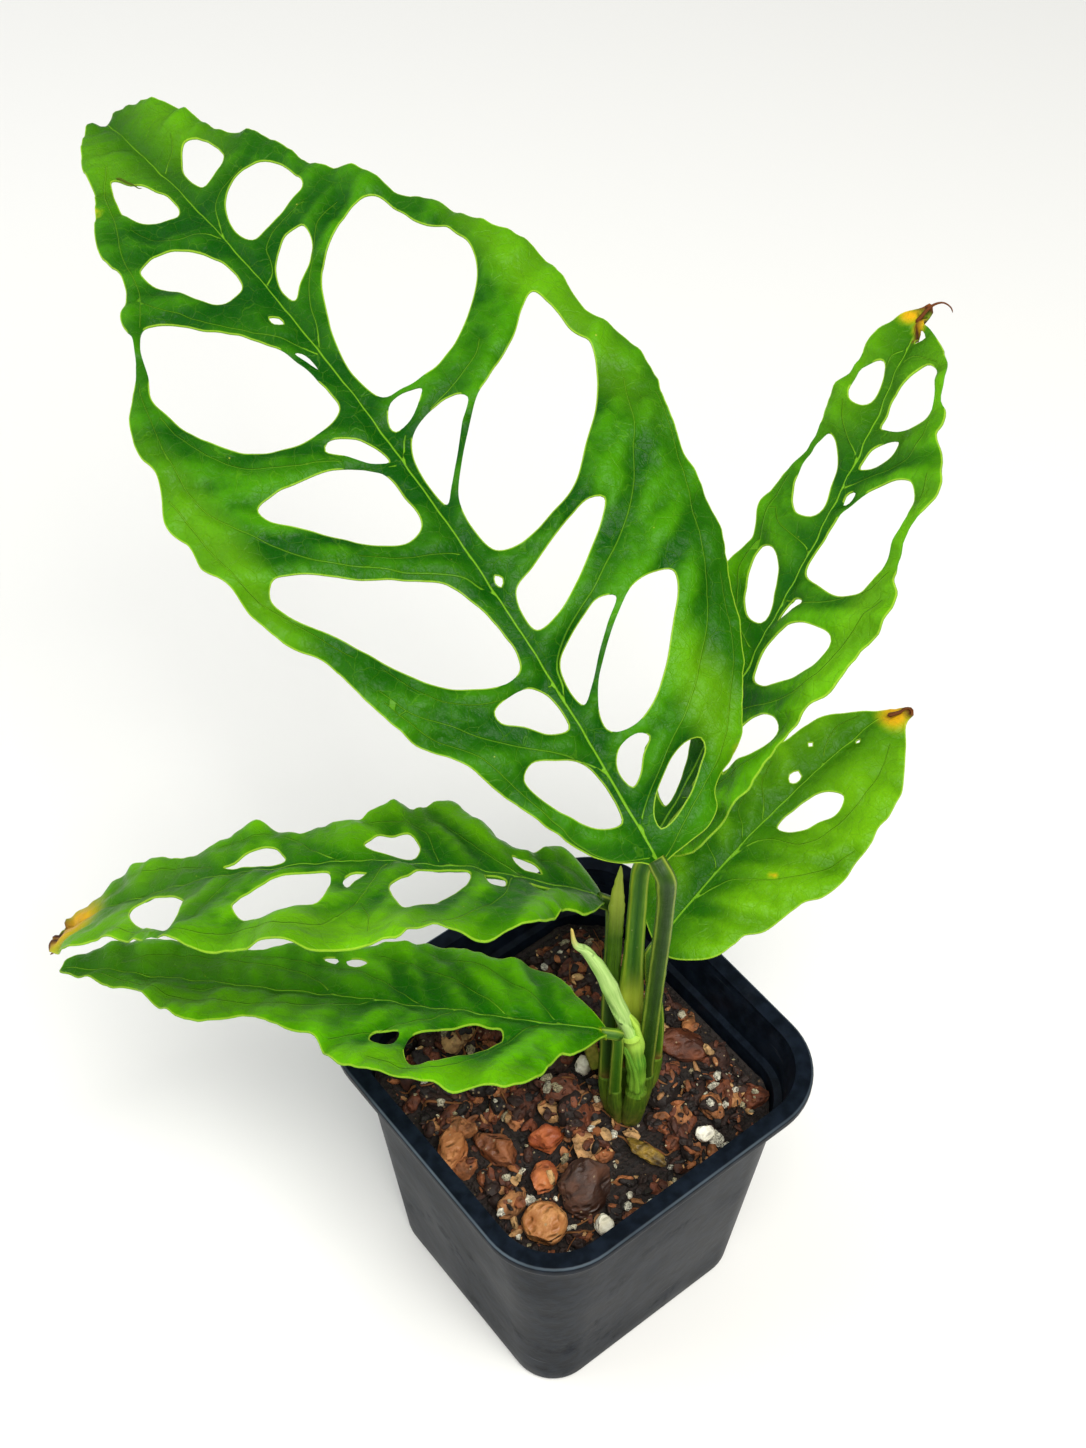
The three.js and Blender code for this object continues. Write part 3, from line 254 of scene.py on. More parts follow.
         (70, -11.5), (66, -13.5), (58, -14), (54, -17), (48, -20.5), (44, -19.5), (37.5, -23.5),
         (33.5, -23.5), (31, -20), (26, -14.5), (21.5, -10), (19, -8.7), (15, -11), (11, -13.5),
         (7.5, -14), (4, -9.5), (1.5, -5)],
        holes=[
            [(33, 2.5), (34, 7.5), (38, 13.5), (43, 19.5), (47, 22), (49, 17.5), (49.5, 11),
             (46, 6.5), (42, 2.5), (38, 1.7)],
            [(62, 6), (61.5, 13), (63, 19.5), (67.5, 21.5), (72, 23), (75.5, 22), (79.5, 16.5),
             (78.5, 11.5), (75, 9), (73, 6.5), (66, 5)],
            [(54.5, 5), (56.5, 8.5), (58, 11), (59, 8.5), (57.5, 5.5)],
            [(92, 8.5), (90.5, 15.5), (91.5, 22), (97.5, 17), (102.5, 12), (104.5, 7.5),
             (103.5, 5), (100, 4), (95, 5.5)],
            [(25, 2.2), (26, 6), (29, 7), (30, 4.5), (28.5, 1.7)],
            [(13, 2), (15, 4), (17.5, 6.5), (19.5, 5), (19.5, 2.5)],
            [(44, -2.5), (43, -6), (45, -9.5), (50, -9.5), (53, -7.5), (55, -4.5), (51, -2.5),
             (46, -1.7)],
            [(72, -1.8), (73, -4), (75, -6.5), (79, -7), (82, -4.5), (86, -3), (82, -2),
             (77, -1.5)],
            [(15.5, -2.6), (17, -4.5), (19.5, -6), (22, -6.3), (21.5, -4), (19.5, -2.8)],
        ],
    ),
    "e": dict(
        base=(11.6, 0.5, 112), length=127.7, heading=229, bend=-12.1,
        pitch=(9.3, -13.2), roll=20, fold=8, droop=30, half_width=26,
        waves=((1.6, 28, 0.607), (1.2, 26, 0.2)),
        outline=[(0, 0), (1.5, 2.5), (4.5, 7), (8, 10.5), (10.5, 11.5), (12.5, 15), (14.5, 20),
         (18, 24.5), (22, 26), (27, 25.7), (32, 26.5), (36, 26), (41, 28.3), (46.5, 28),
         (54, 25.5), (58.5, 21.5), (62, 16.8), (68, 15), (74, 13.5), (79, 11.3), (83, 14),
         (90.5, 15), (96, 13), (102, 9.5), (106, 6.5), (112, 6), (118, 3.5), (124, 2.5),
         (127.5, 1), (127.5, -1.5), (124, -5.5), (118, -9.5), (110, -11.5), (104, -12),
         (96, -12.5), (87, -11.5), (80, -12.7), (74, -16.3), (66, -17), (58, -17.5), (50, -19),
         (42, -21.5), (34, -20), (28, -17.7), (20, -18.5), (15, -17.3), (10, -13.5), (7, -9),
         (3, -4.5)],
        holes=[
            [(24, 5.5), (23.5, 9), (27, 13), (32, 16), (37, 20), (41, 22), (43, 19), (42.5, 13),
             (38, 9), (32, 6), (27, 5)],
            [(45, 12.5), (45.5, 16.5), (48, 18), (50.5, 16), (50.5, 12.5), (48, 11.5)],
            [(67, -12.1), (65.5, -12.7), (63.9, -12.6), (63.2, -11.7), (63.8, -10.7), (65.4, -11)],
            [(61.5, -12), (60.2, -12.2), (57.8, -11.7), (56.2, -10.7), (57, -9.8), (58.7, -9.1),
             (60.4, -9.8)],
        ],
    ),
}

# Veins in the same flat coordinates: half width, then the points from the midrib outwards.
VEINS = {
    "a": [
        (0.3, [(193, 0), (195.5, -3), (198.5, -6), (202.5, -8)]),
        (0.3, [(165.5, 0), (169, 2.5), (170.5, 6), (171.5, 9), (175, 12), (180, 14.5)]),
        (0.32, [(165.5, 0), (170, -1.5), (174, -3), (177, -5.5), (180, -10.5), (181, -14)]),
        (0.32, [(148.5, 0), (150.5, -3), (154, -4.5), (157, -5.5), (160, -9.5), (161.5, -15),
            (162, -18.5)]),
        (0.34, [(128, 0), (133.5, -3), (138, -4.5), (143, -7.5), (147.5, -11), (152, -14.5),
            (155.5, -18), (157.5, -24)]),
        (0.34, [(127, 0), (131.5, 3), (135, 5), (138, 7.5), (143, 12), (148.5, 16.5), (152, 18.5),
            (157, 22.5), (161, 24)]),
        (0.3, [(203, 8.5), (196, 13), (183.5, 16.5), (174.5, 20), (162.5, 22.5), (153.5, 27.5),
            (148.5, 30.5), (141.5, 35), (132, 37.5), (122.5, 39.5)]),
        (0.36, [(96.5, 0), (98, 4), (101, 8.5), (104, 12), (106.5, 18), (109, 23.5), (112, 27.5),
            (116, 31), (120, 33), (126.5, 35), (131.5, 35.5)]),
        (0.46, [(64, 0), (66, 2), (69, 3.5), (72.5, 7.5), (76.5, 13.5), (81.5, 19.5), (86.5, 26),
            (92, 30.5), (97.5, 34), (102.5, 37), (107, 39), (113.5, 40), (119, 39.5), (125.5, 39)]),
        (0.3, [(114.5, 44), (108, 43.5), (99, 43), (90, 41.5), (84.5, 40), (79, 37.5), (72.5, 34.5),
            (67, 31.5)]),
        (0.46, [(96.5, 0), (99, -1.5), (101.5, -3.5), (103, -7), (103.5, -11), (104.5, -16),
            (106, -21), (108, -25.5), (110.5, -28)]),
        (0.5, [(38.5, 0), (41, -1.5), (43.5, -2), (45.5, -3), (49, -7), (52, -12.5), (54, -17),
            (57, -22), (59.5, -26.5), (63.5, -32), (68.5, -37), (74, -40.5), (79, -44), (83.5, -46),
            (88, -48.5)]),
        (0.4, [(6, 0), (9.5, -1), (12.5, -4), (16, -8.5), (20.5, -14.5), (24, -20), (29.5, -26.5),
            (36, -33), (41.5, -37), (50, -41), (57, -44), (64.5, -47), (70.5, -48.8), (76.5, -50.3),
            (82, -52)]),
        (0.32, [(0.5, 0), (1, -2), (4, -6.5), (7.5, -12), (10, -16.5), (13, -21.5), (18, -26.5),
            (23, -30.5), (29, -35), (36, -38.5), (44, -42)]),
        (0.42, [(21, 0), (23, 1), (27.5, 4.5), (30.5, 7.5), (35.5, 13.5), (40.5, 18.5), (46, 23),
            (51.5, 28), (58.5, 31)]),
        (0.24, [(42, 0), (44, 8), (46, 15), (50.5, 21.5), (56.5, 25.5), (62.5, 28)]),
        (0.26, [(73, 0), (75, 2.5), (77, 7), (80, 13.5), (84, 19)]),
        (0.34, [(2, 0), (6, 8), (12, 12.5), (20, 15.2), (30, 18.5), (38, 21.5), (46, 27.5),
            (56, 31.5)]),
    ],
    "b": [
        (0.26, [(92, 0), (94.5, 0.5), (97.5, 3.5), (101.5, 6.5), (106.5, 9)]),
        (0.32, [(87, 0), (89, -4), (92.5, -9.5), (95.5, -13), (100.5, -14), (104, -13.5)]),
        (0.28, [(71, 0), (72.5, 1), (74.5, 7), (75.5, 9.5), (78.5, 12)]),
        (0.36, [(59.5, 0), (61, -1), (61.5, -5), (63.5, -11), (66.5, -17), (69, -21), (73.5, -21.5),
            (78, -20.3), (83, -21.3), (87, -21), (92.5, -20)]),
        (0.36, [(34, 0), (36, -3), (38.5, -6), (41, -10.5), (44, -14.5), (47, -17.5), (52, -20),
            (58.5, -21.5), (64, -23), (67.5, -24.5)]),
        (0.26, [(121.5, 0), (119, 2.5), (113.5, 2.5)]),
        (0.26, [(68.5, 12), (77.5, 13.5), (86, 13), (95, 11.5), (100, 10.5)]),
        (0.34, [(14, 0), (17, -5), (21, -9), (27, -13), (32, -16.5), (40, -18.5)]),
        (0.34, [(28, 0), (31, 4), (34, 9), (40, 12.5), (50, 14)]),
        (0.3, [(48, 0), (51, 5), (56, 10), (63, 13), (70, 13)]),
        (0.3, [(117, 0), (119, -2.5), (118.5, -6), (117.5, -9)]),
    ],
    "c": [
        (0.3, [(21, 0), (23, 1.5), (25.5, 6.5), (28.5, 8.5), (33, 11.5)]),
        (0.28, [(30, 0), (33.5, 3), (35.5, 6), (40, 7.5)]),
        (0.28, [(37, 0), (41, 3.5), (43.5, 6.5), (48.5, 8.5)]),
        (0.38, [(13.5, 0), (22, -4), (28.5, -12), (37.5, -18), (46, -20)]),
        (0.36, [(22.5, 0), (29.5, -0.8), (35, -4), (38.5, -10), (44, -12.5), (51, -13), (59.5, -12),
            (65.5, -10), (70.5, -7)]),
        (0.24, [(56, 0), (60, 3), (65, 4.5), (70, 3)]),
        (0.26, [(5, 0), (12, 7), (20, 12), (30, 13.5), (40, 12)]),
    ],
    "d": [
        (0.3, [(118, 0), (115.5, -7.5), (111, -8.2), (106.5, -8), (102, -8), (96, -6.5),
            (89, -3.5)]),
        (0.34, [(106, 14), (98, 18.5), (89.5, 24.5), (86.5, 25.2), (82, 25), (78.5, 24.5),
            (72.5, 26.5), (67, 29), (62.5, 27), (59.5, 23)]),
        (0.4, [(49, 0), (51, 3), (52.5, 8), (55, 15.5), (57.5, 21), (61.5, 26), (65, 29.5)]),
        (0.4, [(21, 0), (23, 1), (26.5, 10), (29, 13.5), (34, 19), (39, 25), (44, 28)]),
        (0.28, [(53.5, 28), (53.5, 23.5), (55, 19)]),
        (0.32, [(33.5, 0), (38.5, -1), (39.5, -4), (40.5, -8), (41.5, -11), (46, -13.5),
            (54, -13)]),
        (0.34, [(19, 0), (26.5, -4), (30.5, -8), (34, -11.5), (37.5, -15), (44, -16.5)]),
        (0.3, [(80, 0), (83, 6), (86, 13), (87.5, 20)]),
        (0.28, [(60, 0), (66, -4), (70, -8), (78, -11.5), (88, -10)]),
        (0.26, [(3, 0), (7, -5), (12, -8), (18, -7)]),
    ],
    "e": [
        (0.3, [(61.5, 0), (67.5, -4.5), (75, -6.6), (83, -6.8), (96, -8), (106, -6.5),
            (113, -2.5)]),
        (0.32, [(22, 0), (28, -5), (36, -9.5), (46, -12.5), (54, -13.8)]),
        (0.28, [(41, 0), (48, -4), (56, -7), (65, -8.8), (74, -9.5), (86, -9)]),
        (0.36, [(15, 0), (20, 6.5), (26, 14), (33, 20), (42, 24.5), (50, 23)]),
        (0.32, [(34, 0), (40, 6), (46, 10), (53, 14), (59, 17)]),
        (0.34, [(51, 0), (60, 4), (72, 6.8), (83, 7.5), (96, 7.5), (106, 4.8), (116, 2)]),
        (0.3, [(11, 0), (16, -6), (24, -11), (33, -15), (43, -17.5)]),
        (0.24, [(84, 0), (90, 3), (98, 4), (106, 2.5)]),
    ],
}

# Dry and yellow patches of each blade: middle (u, v), and radii along and across.
DRY = {
    "a": [],
    "b": [(132.3, -0.8, 2.4, 2.8), (128.8, -0.6, 3.4, 0.9), (125.4, -0.5, 2.6, 0.6)],
    "c": [(80.4, -3.8, 2.8, 2.8)],
    "d": [(129.8, 1.5, 4.2, 5), (126.6, 8.2, 3.6, 5)],
    "e": [],
}
YELLOW = {
    "a": [(190, 17.5, 1.1, 0.7), (150.2, 33, 0.9, 0.8), (9, -26, 4, 2)],
    "b": [(129.5, 2.2, 2.5, 2.6), (127, -1, 2.4, 1.8)],
    "c": [(76, -2, 4, 4.4), (28.8, -10.6, 0.5, 1.4)],
    "d": [(124, 4, 8.5, 12)],
    "e": [(0, 0, 2, 1)],
}

# Lighter, yellower areas of the young tips and outer margins, in the same terms. The first patch of
# leaf e is a painted pool of light.
LIGHT = {
    "a": [(208, 0, 26, 22), (125, -48, 45, 9), (88, 44, 45, 8), (20, -26, 22, 7)],
    "b": [(118, 0, 24, 20), (60, -24, 40, 7)],
    "c": [(58, -8, 30, 20), (20, -14, 26, 8)],
    "d": [(108, 6, 24, 20), (60, 30, 34, 8)],
    # the first patch of leaf e is painted light
    "e": [(98, 4, 38, 14), (40, 25, 34, 7)],
}

# Thin withered ends that curl off the blades: points in space, the radius that they start with,
# and how dry they are.
WITHERED = {
    "a": [([(-164.8, 0.7, 237), (-164, 1.5, 236.9), (-162.8, 2.2, 236.5), (-161.5, 3.1, 236.1),
            (-160.4, 3.7, 235.6), (-159.9, 4.3, 235.7)], 0.6, 0.4)],
    "b": [([(-28.5, 112, 229.4), (-28.5, 113.5, 230.1), (-28.6, 115.2, 231.1),
            (-28.3, 117.1, 231.9), (-27.3, 118.7, 232.1), (-25.7, 119.4, 231.4),
            (-24.9, 119.2, 230.7)], 0.8, 1)],
    "c": [([(4, 86.6, 150.4), (4.7, 87.7, 150.8), (5.4, 89.2, 151.1), (5.7, 90.6, 151.7),
            (6.6, 91.3, 151.4), (7.3, 90.8, 150.7)], 0.9, 1)],
    "d": [([(-73.3, -82, 127.2), (-73.4, -83.7, 126.4), (-73.4, -85.9, 125.3),
            (-73.6, -87.7, 124.4), (-73.9, -89.4, 123.7)], 1.1, 1)],
    "e": [],
}

# Stalks: points from the crown up, and radii low and high.
STALKS = {
    "a": ([(14.1, 10.3, 86), (14, 10.2, 90.5), (14.2, 10.4, 105), (15, 10.4, 130), (16.9, 9.2, 152),
           (18.4, 7.6, 167)], (2.1, 1.9)),
    "b": ([(9.5, 8.6, 86), (9.5, 8.6, 90.5), (8.7, 9.6, 103), (7.5, 10.2, 112), (6.2, 11.4, 126),
           (4.4, 13.2, 142), (3.4, 14.4, 151)], (2.3, 2)),
    "c": ([(12.2, 15, 86), (12.2, 15, 90.5), (11.4, 15.2, 104), (9.4, 14, 119), (8.3, 14.4, 124.4)],
          (1.6, 1.4)),
    "d": ([(8.8, 3.2, 86), (8.8, 3.2, 90.5), (5.4, 6, 102), (1.6, 9.2, 117), (-0.9, 11.3, 130),
           (-1.9, 11.7, 135)], (2.1, 1.7)),
    "e": ([(13.2, 1.9, 86), (13.2, 1.9, 90.5), (13.1, 2, 100), (12.9, 2.2, 107), (12.6, 2, 110.2)],
          (1.5, 1.3)),
}
RIB_BASE, RIB_TIP = 1.5, 0.45  # a midrib's radius at its foot and at its tip
STALK_SIDES = 44
BUD_FOOT = 2.3
BUD = [(16.6, 5.5, 86), (16.6, 5.5, 90.5), (15.6, 5.9, 97), (12.9, 6.5, 103), (11.9, 6.2, 106)]
NEW_LEAF = [(15.3, 6, 98.5), (12.9, 6.5, 103), (11.1, 5.9, 109), (8.8, 3.5, 120), (7.2, 1, 130),
            (5.2, -1.8, 138), (4.5, -3.9, 141), (4.2, -5.1, 148)]
NEW_LEAF_RADII = (1.5, 1.7, 1.85, 1.9, 1.95, 1.9, 1.75, 1.85, 2.05, 1.75, 1.6, 1.5, 1.35, 1.05,
                  0.65, 0.42, 0.25)
# Small parts that stand off a stem: the flap and stub of stalk d, the hood and flap of the sheath
FLAP_D = [(4.2, 7.4, 108), (3, 8.4, 124), (2.8, 8.6, 138), (3.1, 8.5, 150), (3.4, 8.5, 158)]
STUB_D = [(6.6, 2.2, 88), (4.6, 1.6, 94), (2.6, 1.8, 101), (1.9, 2.2, 106)]
BUD_HOOD = [(14.7, 7.4, 100), (14.1, 8, 103.5), (12.6, 7.6, 108.5), (11.3, 6.4, 112.5)]
BUD_FLAP = [(17.9, 3.7, 90), (17.2, 3.9, 96), (15.8, 3.6, 101), (14, 3.4, 105)]

# Chips that stand out: place, radii, tilt and turn, dark and light colour, facets.
CHIPS = {
    "bark_ball": ((25.2, -28, 75.5), (5.4, 5, 4.8), (0.15, 0.4), "#9a5c2c", "#d69c5e", 3),
    "bark_round": ((23.6, -14.8, 76), (6.6, 8.6, 3.6), (0.62, 0.89), "#24120a", "#54301c", 12),
    "bark_oblong": ((3.4, -24.1, 74.5), (7, 4, 3.6), (0.15, 0.3), "#5a2f18", "#96592f", 8),
    "bark_shell": ((-3, -33, 74.5), (6, 3.6, 4), (0.15, 2.5), "#8a4a22", "#c98a52", 7),
    "bark_red_1": ((8, -14, 74.5), (4.2, 3.4, 3.2), (0.15, 0.8), "#7a3214", "#b8622f", 8),
    "bark_red_2": ((15.5, -21, 74.5), (4.6, 3.4, 3.2), (0.15, 2), "#8a4220", "#c87840", 8),
    "bark_back": ((8, 28, 74), (7, 4.4, 4), (0.15, 0.6), "#3a1c10", "#7a4022", 8),
    "chip_ochre": ((25, 1.4, 75.6), (6.2, 2, 1.8), (0.3, 0.35), "#2a1c08", "#c8a03a", 7),
}
for number, (spot, size) in enumerate([
        ((33.8, -17.5, 74.8), (2.6, 2.3, 2.2)), ((30, 16, 74.8), (2.4, 2.2, 2)),
        ((-17, -12, 74.8), (2.6, 2.1, 2.1)), ((-2, 5, 74.8), (2.4, 2.2, 2.1))]):
    CHIPS[f"perlite_{number + 1}"] = (spot, size, (0.15, number), "#d2c8ac", "#fdf8e8", 14)

# More bark that shows in place: x, y, three radii, tone from dark to tan, and turn in degrees.
SEEN_BARK = [
    (3.3, -7.9, 4.5, 2.5, 2, 0.9, 20), (14.4, -3.6, 1.7, 1.4, 4.6, 0.72, 0),
    (-6.8, -28.2, 4.5, 3.5, 3, 0.8, 40), (1.5, -36.5, 4, 3, 2.6, 0.7, 80),
    (7.7, -30.6, 3, 2.5, 2, 0.6, 10), (12.2, -29.9, 2.5, 1.5, 1.5, 0.85, 60),
    (17.1, -20.5, 1.6, 1.4, 3.6, 1, 0), (10.4, -6.2, 3, 2.5, 2, 0.4, 30),
    (15.9, 15.7, 4.4, 1.7, 1.5, 0.86, 100), (3.9, 35.6, 4.8, 1.8, 1.4, 0.8, 130),
    (1.6, 25.9, 3.4, 3, 2.6, 0.97, 10), (-4.4, 31.8, 5, 4, 3.4, 0.35, 20),
    (7.2, 15.4, 4, 3, 2.5, 0.45, 0), (15.6, 32.7, 4, 3.6, 3, 0.28, 0),
    (28.9, 32.3, 4, 3.4, 3, 0.5, 70), (34.8, 2.1, 1.9, 1.7, 1.5, 0.97, 0),
    (35.2, 12.2, 2, 1.4, 1.1, 0.85, 20), (35.7, -9.5, 3.6, 2, 1.2, 0.6, 60),
    (32.2, -16.7, 2.4, 2, 1.6, 0.86, 0), (35.4, -22.8, 5, 1.1, 1, 0.7, 75),
    (15.1, -27.2, 2.6, 1.5, 1, 0.9, 30), (-3.1, -8.6, 3.6, 2.5, 2.2, 0.4, 0),
    (-6.7, -15.3, 3.6, 3, 2.5, 0.5, 30), (-15.3, -24.7, 4, 2.2, 2, 0.65, 10),
    (-37.7, 23.9, 4, 3, 2.5, 0.3, 0), (-32.3, 27.4, 4, 3, 2.5, 0.4, 50),
    (-18.5, 19.4, 5, 2.5, 2, 0.62, 140), (-34.8, 8.6, 4, 3, 2.6, 0.3, 0),
    (-37.9, 0.3, 4, 3, 2.4, 0.35, 0),
]
# Perlite that shows in place: x, y and radius.
SEEN_PERLITE = [
    (17.5, -26.9, 2), (34.5, -27.8, 2), (35.8, -15.3, 1.2), (33.6, -10.6, 1.2), (36.1, -4.8, 1.7),
    (31.7, 17.6, 2.3), (34.6, 18.5, 1.3), (25.6, 29.2, 1.1), (20.7, 27.9, 1.2), (27.7, 24.2, 0.9),
    (4.0, 28.5, 1.5), (17.6, -34.7, 1.3), (-6.1, -32.7, 1.6), (8.6, -36.2, 1.2), (15.8, -0.3, 1.4),
    (13.6, -5.1, 1), (30.7, 4.9, 0.8), (-29.8, 15.4, 1.2), (-41.1, 19.6, 1.5), (-42.1, 13.4, 1.9),
    (-1.1, 4.7, 1), (10.7, 14.4, 1.3), (-8.5, -26.2, 0.9), (26.4, 20.2, 1.1), (20.8, 31.7, 0.8),
    (22.8, -33.9, 1),
]
# Loose pieces at random places: how many, smallest and largest size, width and thickness as
# shares of the length, detail of the ball, share sunk in, tones, roughness and facets.
SCATTERED = {
    "loose_bark": (330, (1.8, 6.2), ((0.4, 0.8), (0.4, 0.75)), 3, 0.14, (0, 0.95), 0.09, 9),
    "bark_crumbs": (1150, (0.4, 2.4), ((0.25, 0.8), (0.25, 0.6)), 2, 0.25, (0, 1), 0.1, 5),
    "perlite_grains": (150, (0.3, 1.9), ((0.5, 0.95), (0.45, 0.9)), 2, 0.2, (0, 1), 0.26, 4),
}


# Shader helpers

def paint(text):
    """A colour written in hexadecimal, as linear values."""
    parts = [int(text[i:i + 2], 16) / 255 for i in (1, 3, 5)]
    return (*[p / 12.92 if p <= 0.04045 else ((p + 0.055) / 1.055) ** 2.4 for p in parts], 1)


def connect(tree, value, socket):
    """Links a socket's value to an input, or sets the input to a constant."""
    if isinstance(value, bpy.types.NodeSocket):
        tree.links.new(value, socket)
    else:
        socket.default_value = value


def put(tree, kind, inputs=None, **settings):
    """A new node with its settings made and its inputs set or linked."""
    made = tree.nodes.new(kind)
    for key, value in settings.items():
        setattr(made, key, value)
    for key, value in (inputs or {}).items():
        connect(tree, value, made.inputs[key])
    return made


def maths(tree, operation, *values, clamp=False):
    return put(tree, "ShaderNodeMath", dict(enumerate(values)), operation=operation,
               use_clamp=clamp).outputs[0]


def times(tree, first, second):
    return maths(tree, "MULTIPLY", first, second)


def scaled(tree, value, gain, start):
    """value times gain, plus start."""
    return maths(tree, "MULTIPLY_ADD", value, gain, start)


def ramp(tree, value, low, high):
    """0 below low, 1 above high and smooth between. low may be the larger one."""
    made = put(tree, "ShaderNodeMapRange", {"Value": value, "From Min": low, "From Max": high},
               interpolation_type="SMOOTHSTEP")
    return made.outputs["Result"]


def blend(tree, share, first, second):
    """Mixes two colours by share."""
    return put(tree, "ShaderNodeMix", {0: share, 6: first, 7: second}, data_type="RGBA").outputs[2]


def tint(tree, colour, value, strength, text):
    """A colour with the written one mixed over it, by value times strength."""
    return blend(tree, times(tree, value, strength), colour, paint(text))


def clouds(tree, place, scale, detail, roughness=0.5, output="Fac"):
    return put(tree, "ShaderNodeTexNoise", {"Vector": place, "Scale": scale, "Detail": detail,
                                            "Roughness": roughness}).outputs[output]


def cells(tree, place, scale, randomness=1, **settings):
    return put(tree, "ShaderNodeTexVoronoi", {"Vector": place, "Scale": scale,
                                              "Randomness": randomness}, **settings).outputs


def stretched(tree, place, factors):
    made = put(tree, "ShaderNodeVectorMath", {0: place, 1: factors}, operation="MULTIPLY")
    return made.outputs[0]


def new_group(name, inputs, outputs):
    """A node group. An input is a vector where its default is a tuple, or else a number."""
    tree = bpy.data.node_groups.new(name, "ShaderNodeTree")
    for socket, value in inputs.items():
        kind = "NodeSocketVector" if isinstance(value, tuple) else "NodeSocketFloat"
        tree.interface.new_socket(socket, in_out="INPUT", socket_type=kind).default_value = value
    for socket in outputs:
        tree.interface.new_socket(socket, in_out="OUTPUT", socket_type="NodeSocketFloat")
    return tree, tree.nodes.new("NodeGroupInput").outputs, tree.nodes.new("NodeGroupOutput").inputs


def make_vein_group():
    """Main veins, the painted shade along them, the fine net between them and the relief of both.
    """
    tree, given, result = new_group("leaf veins", {"Place": ORIGIN, "Vein Distance": 0.0},
                                    ["Vein", "Net", "Shade", "Height"])
    vein = ramp(tree, given["Vein Distance"], VEIN_SOFTNESS, -0.05)
    warp = clouds(tree, given["Place"], 30, 2, output="Color")
    bent = put(tree, "ShaderNodeMix", {4: given["Place"], 5: warp, 0: 0.02},
               data_type="VECTOR").outputs[1]
    coarse = cells(tree, bent, NET_SCALE, 0.9, feature="DISTANCE_TO_EDGE")
    fine = cells(tree, bent, NET_SCALE * FINE_NET, feature="DISTANCE_TO_EDGE")
    coarse, fine = (ramp(tree, net["Distance"], NET_WIDTH, 0) for net in (coarse, fine))
    both = maths(tree, "MAXIMUM", coarse, times(tree, fine, 0.45))
    connect(tree, vein, result["Vein"])
    connect(tree, both, result["Net"])
    connect(tree, ramp(tree, given["Vein Distance"], 3.5, 0.2), result["Shade"])
    connect(tree, maths(tree, "ADD", vein, times(tree, both, -0.25)), result["Height"])
    return tree


def make_mottle_group():
    """Soft blotches at two sizes."""
    tree, given, result = new_group("mottling", {"Place": ORIGIN, "Scale": 5.0, "Contrast": 0.15},
                                    ["Blotch", "Fine"])
    low = maths(tree, "SUBTRACT", 0.5, given["Contrast"])
    high = maths(tree, "ADD", 0.5, given["Contrast"])
    big = clouds(tree, given["Place"], given["Scale"], 3)
    small = clouds(tree, given["Place"], times(tree, given["Scale"], 9), 4)
    connect(tree, ramp(tree, big, low, high), result["Blotch"])
    connect(tree, ramp(tree, small, low, high), result["Fine"])
    return tree


def make_speck_group():
    """Scattered round specks: Share of the cells have one, up to Size of a cell across."""
    tree, given, result = new_group(
        "specks", {"Place": ORIGIN, "Scale": 400.0, "Share": 0.2, "Size": 0.3}, ["Speck"])
    found = cells(tree, given["Place"], given["Scale"])
    chosen = put(tree, "ShaderNodeSeparateColor", {"Color": found["Color"]})
    picked = maths(tree, "LESS_THAN", chosen.outputs[0], given["Share"])
    size = times(tree, given["Size"], maths(tree, "ADD", 0.4, chosen.outputs[1]))
    spot = ramp(tree, found["Distance"], size, times(tree, size, 0.5))
    connect(tree, times(tree, picked, spot), result["Speck"])
    return tree


def make_grain_group():
    """Rough crumbly grain with pits, drawn out along one way by Stretch."""
    tree, given, result = new_group(
        "grain", {"Place": ORIGIN, "Scale": 300.0, "Stretch": (1, 1, 1), "Pits": 0.5},
        ["Tone", "Height"])
    long = stretched(tree, given["Place"], given["Stretch"])
    rough = clouds(tree, long, given["Scale"], 6, 0.65)
    pits = cells(tree, long, times(tree, given["Scale"], 2))["Distance"]
    hollow = times(tree, ramp(tree, pits, 0.5, 0.1), given["Pits"])
    connect(tree, ramp(tree, rough, 0.3, 0.72), result["Tone"])
    connect(tree, maths(tree, "SUBTRACT", rough, hollow), result["Height"])
    return tree


def make_scuff_group():
    """Thin scratches in one direction and dusty smears."""
    tree, given, result = new_group("scuffs", {"Place": ORIGIN, "Amount": 0.5},
                                    ["Scratch", "Dust"])
    lines = clouds(tree, stretched(tree, given["Place"], (40, 40, 900)), 1, 3)
    where = clouds(tree, given["Place"], 45, 3)
    line = times(tree, ramp(tree, lines, 0.66, 0.75), ramp(tree, where, 0.5, 0.62))
    dust = clouds(tree, given["Place"], 110, 6, 0.7)
    soft = times(tree, ramp(tree, dust, 0.5, 0.8), ramp(tree, where, 0.42, 0.7))
    for found, name in ((line, "Scratch"), (soft, "Dust")):
        connect(tree, times(tree, found, given["Amount"]), result[name])
    return tree


GROUPS = {"veins": make_vein_group(), "mottle": make_mottle_group(), "specks": make_speck_group(),
          "grain": make_grain_group(), "scuffs": make_scuff_group()}


def use(tree, group, **inputs):
    """A group placed in a material, with its inputs named by words joined with _."""
    made = tree.nodes.new("ShaderNodeGroup")
    made.node_tree = GROUPS[group]
    for key, value in inputs.items():
        connect(tree, value, made.inputs[key.replace("_", " ").title()])
    return made.outputs


def start_material(name):
    material = bpy.data.materials.new(name)
    material.use_nodes = True
    tree = material.node_tree
    return material, tree, tree.nodes["Principled BSDF"]


def attribute(tree, name):
    return put(tree, "ShaderNodeAttribute", attribute_name=name).outputs["Fac"]


def place_on(tree, kind):
    """The Object or the UV coordinates."""
    return put(tree, "ShaderNodeTexCoord").outputs[kind]


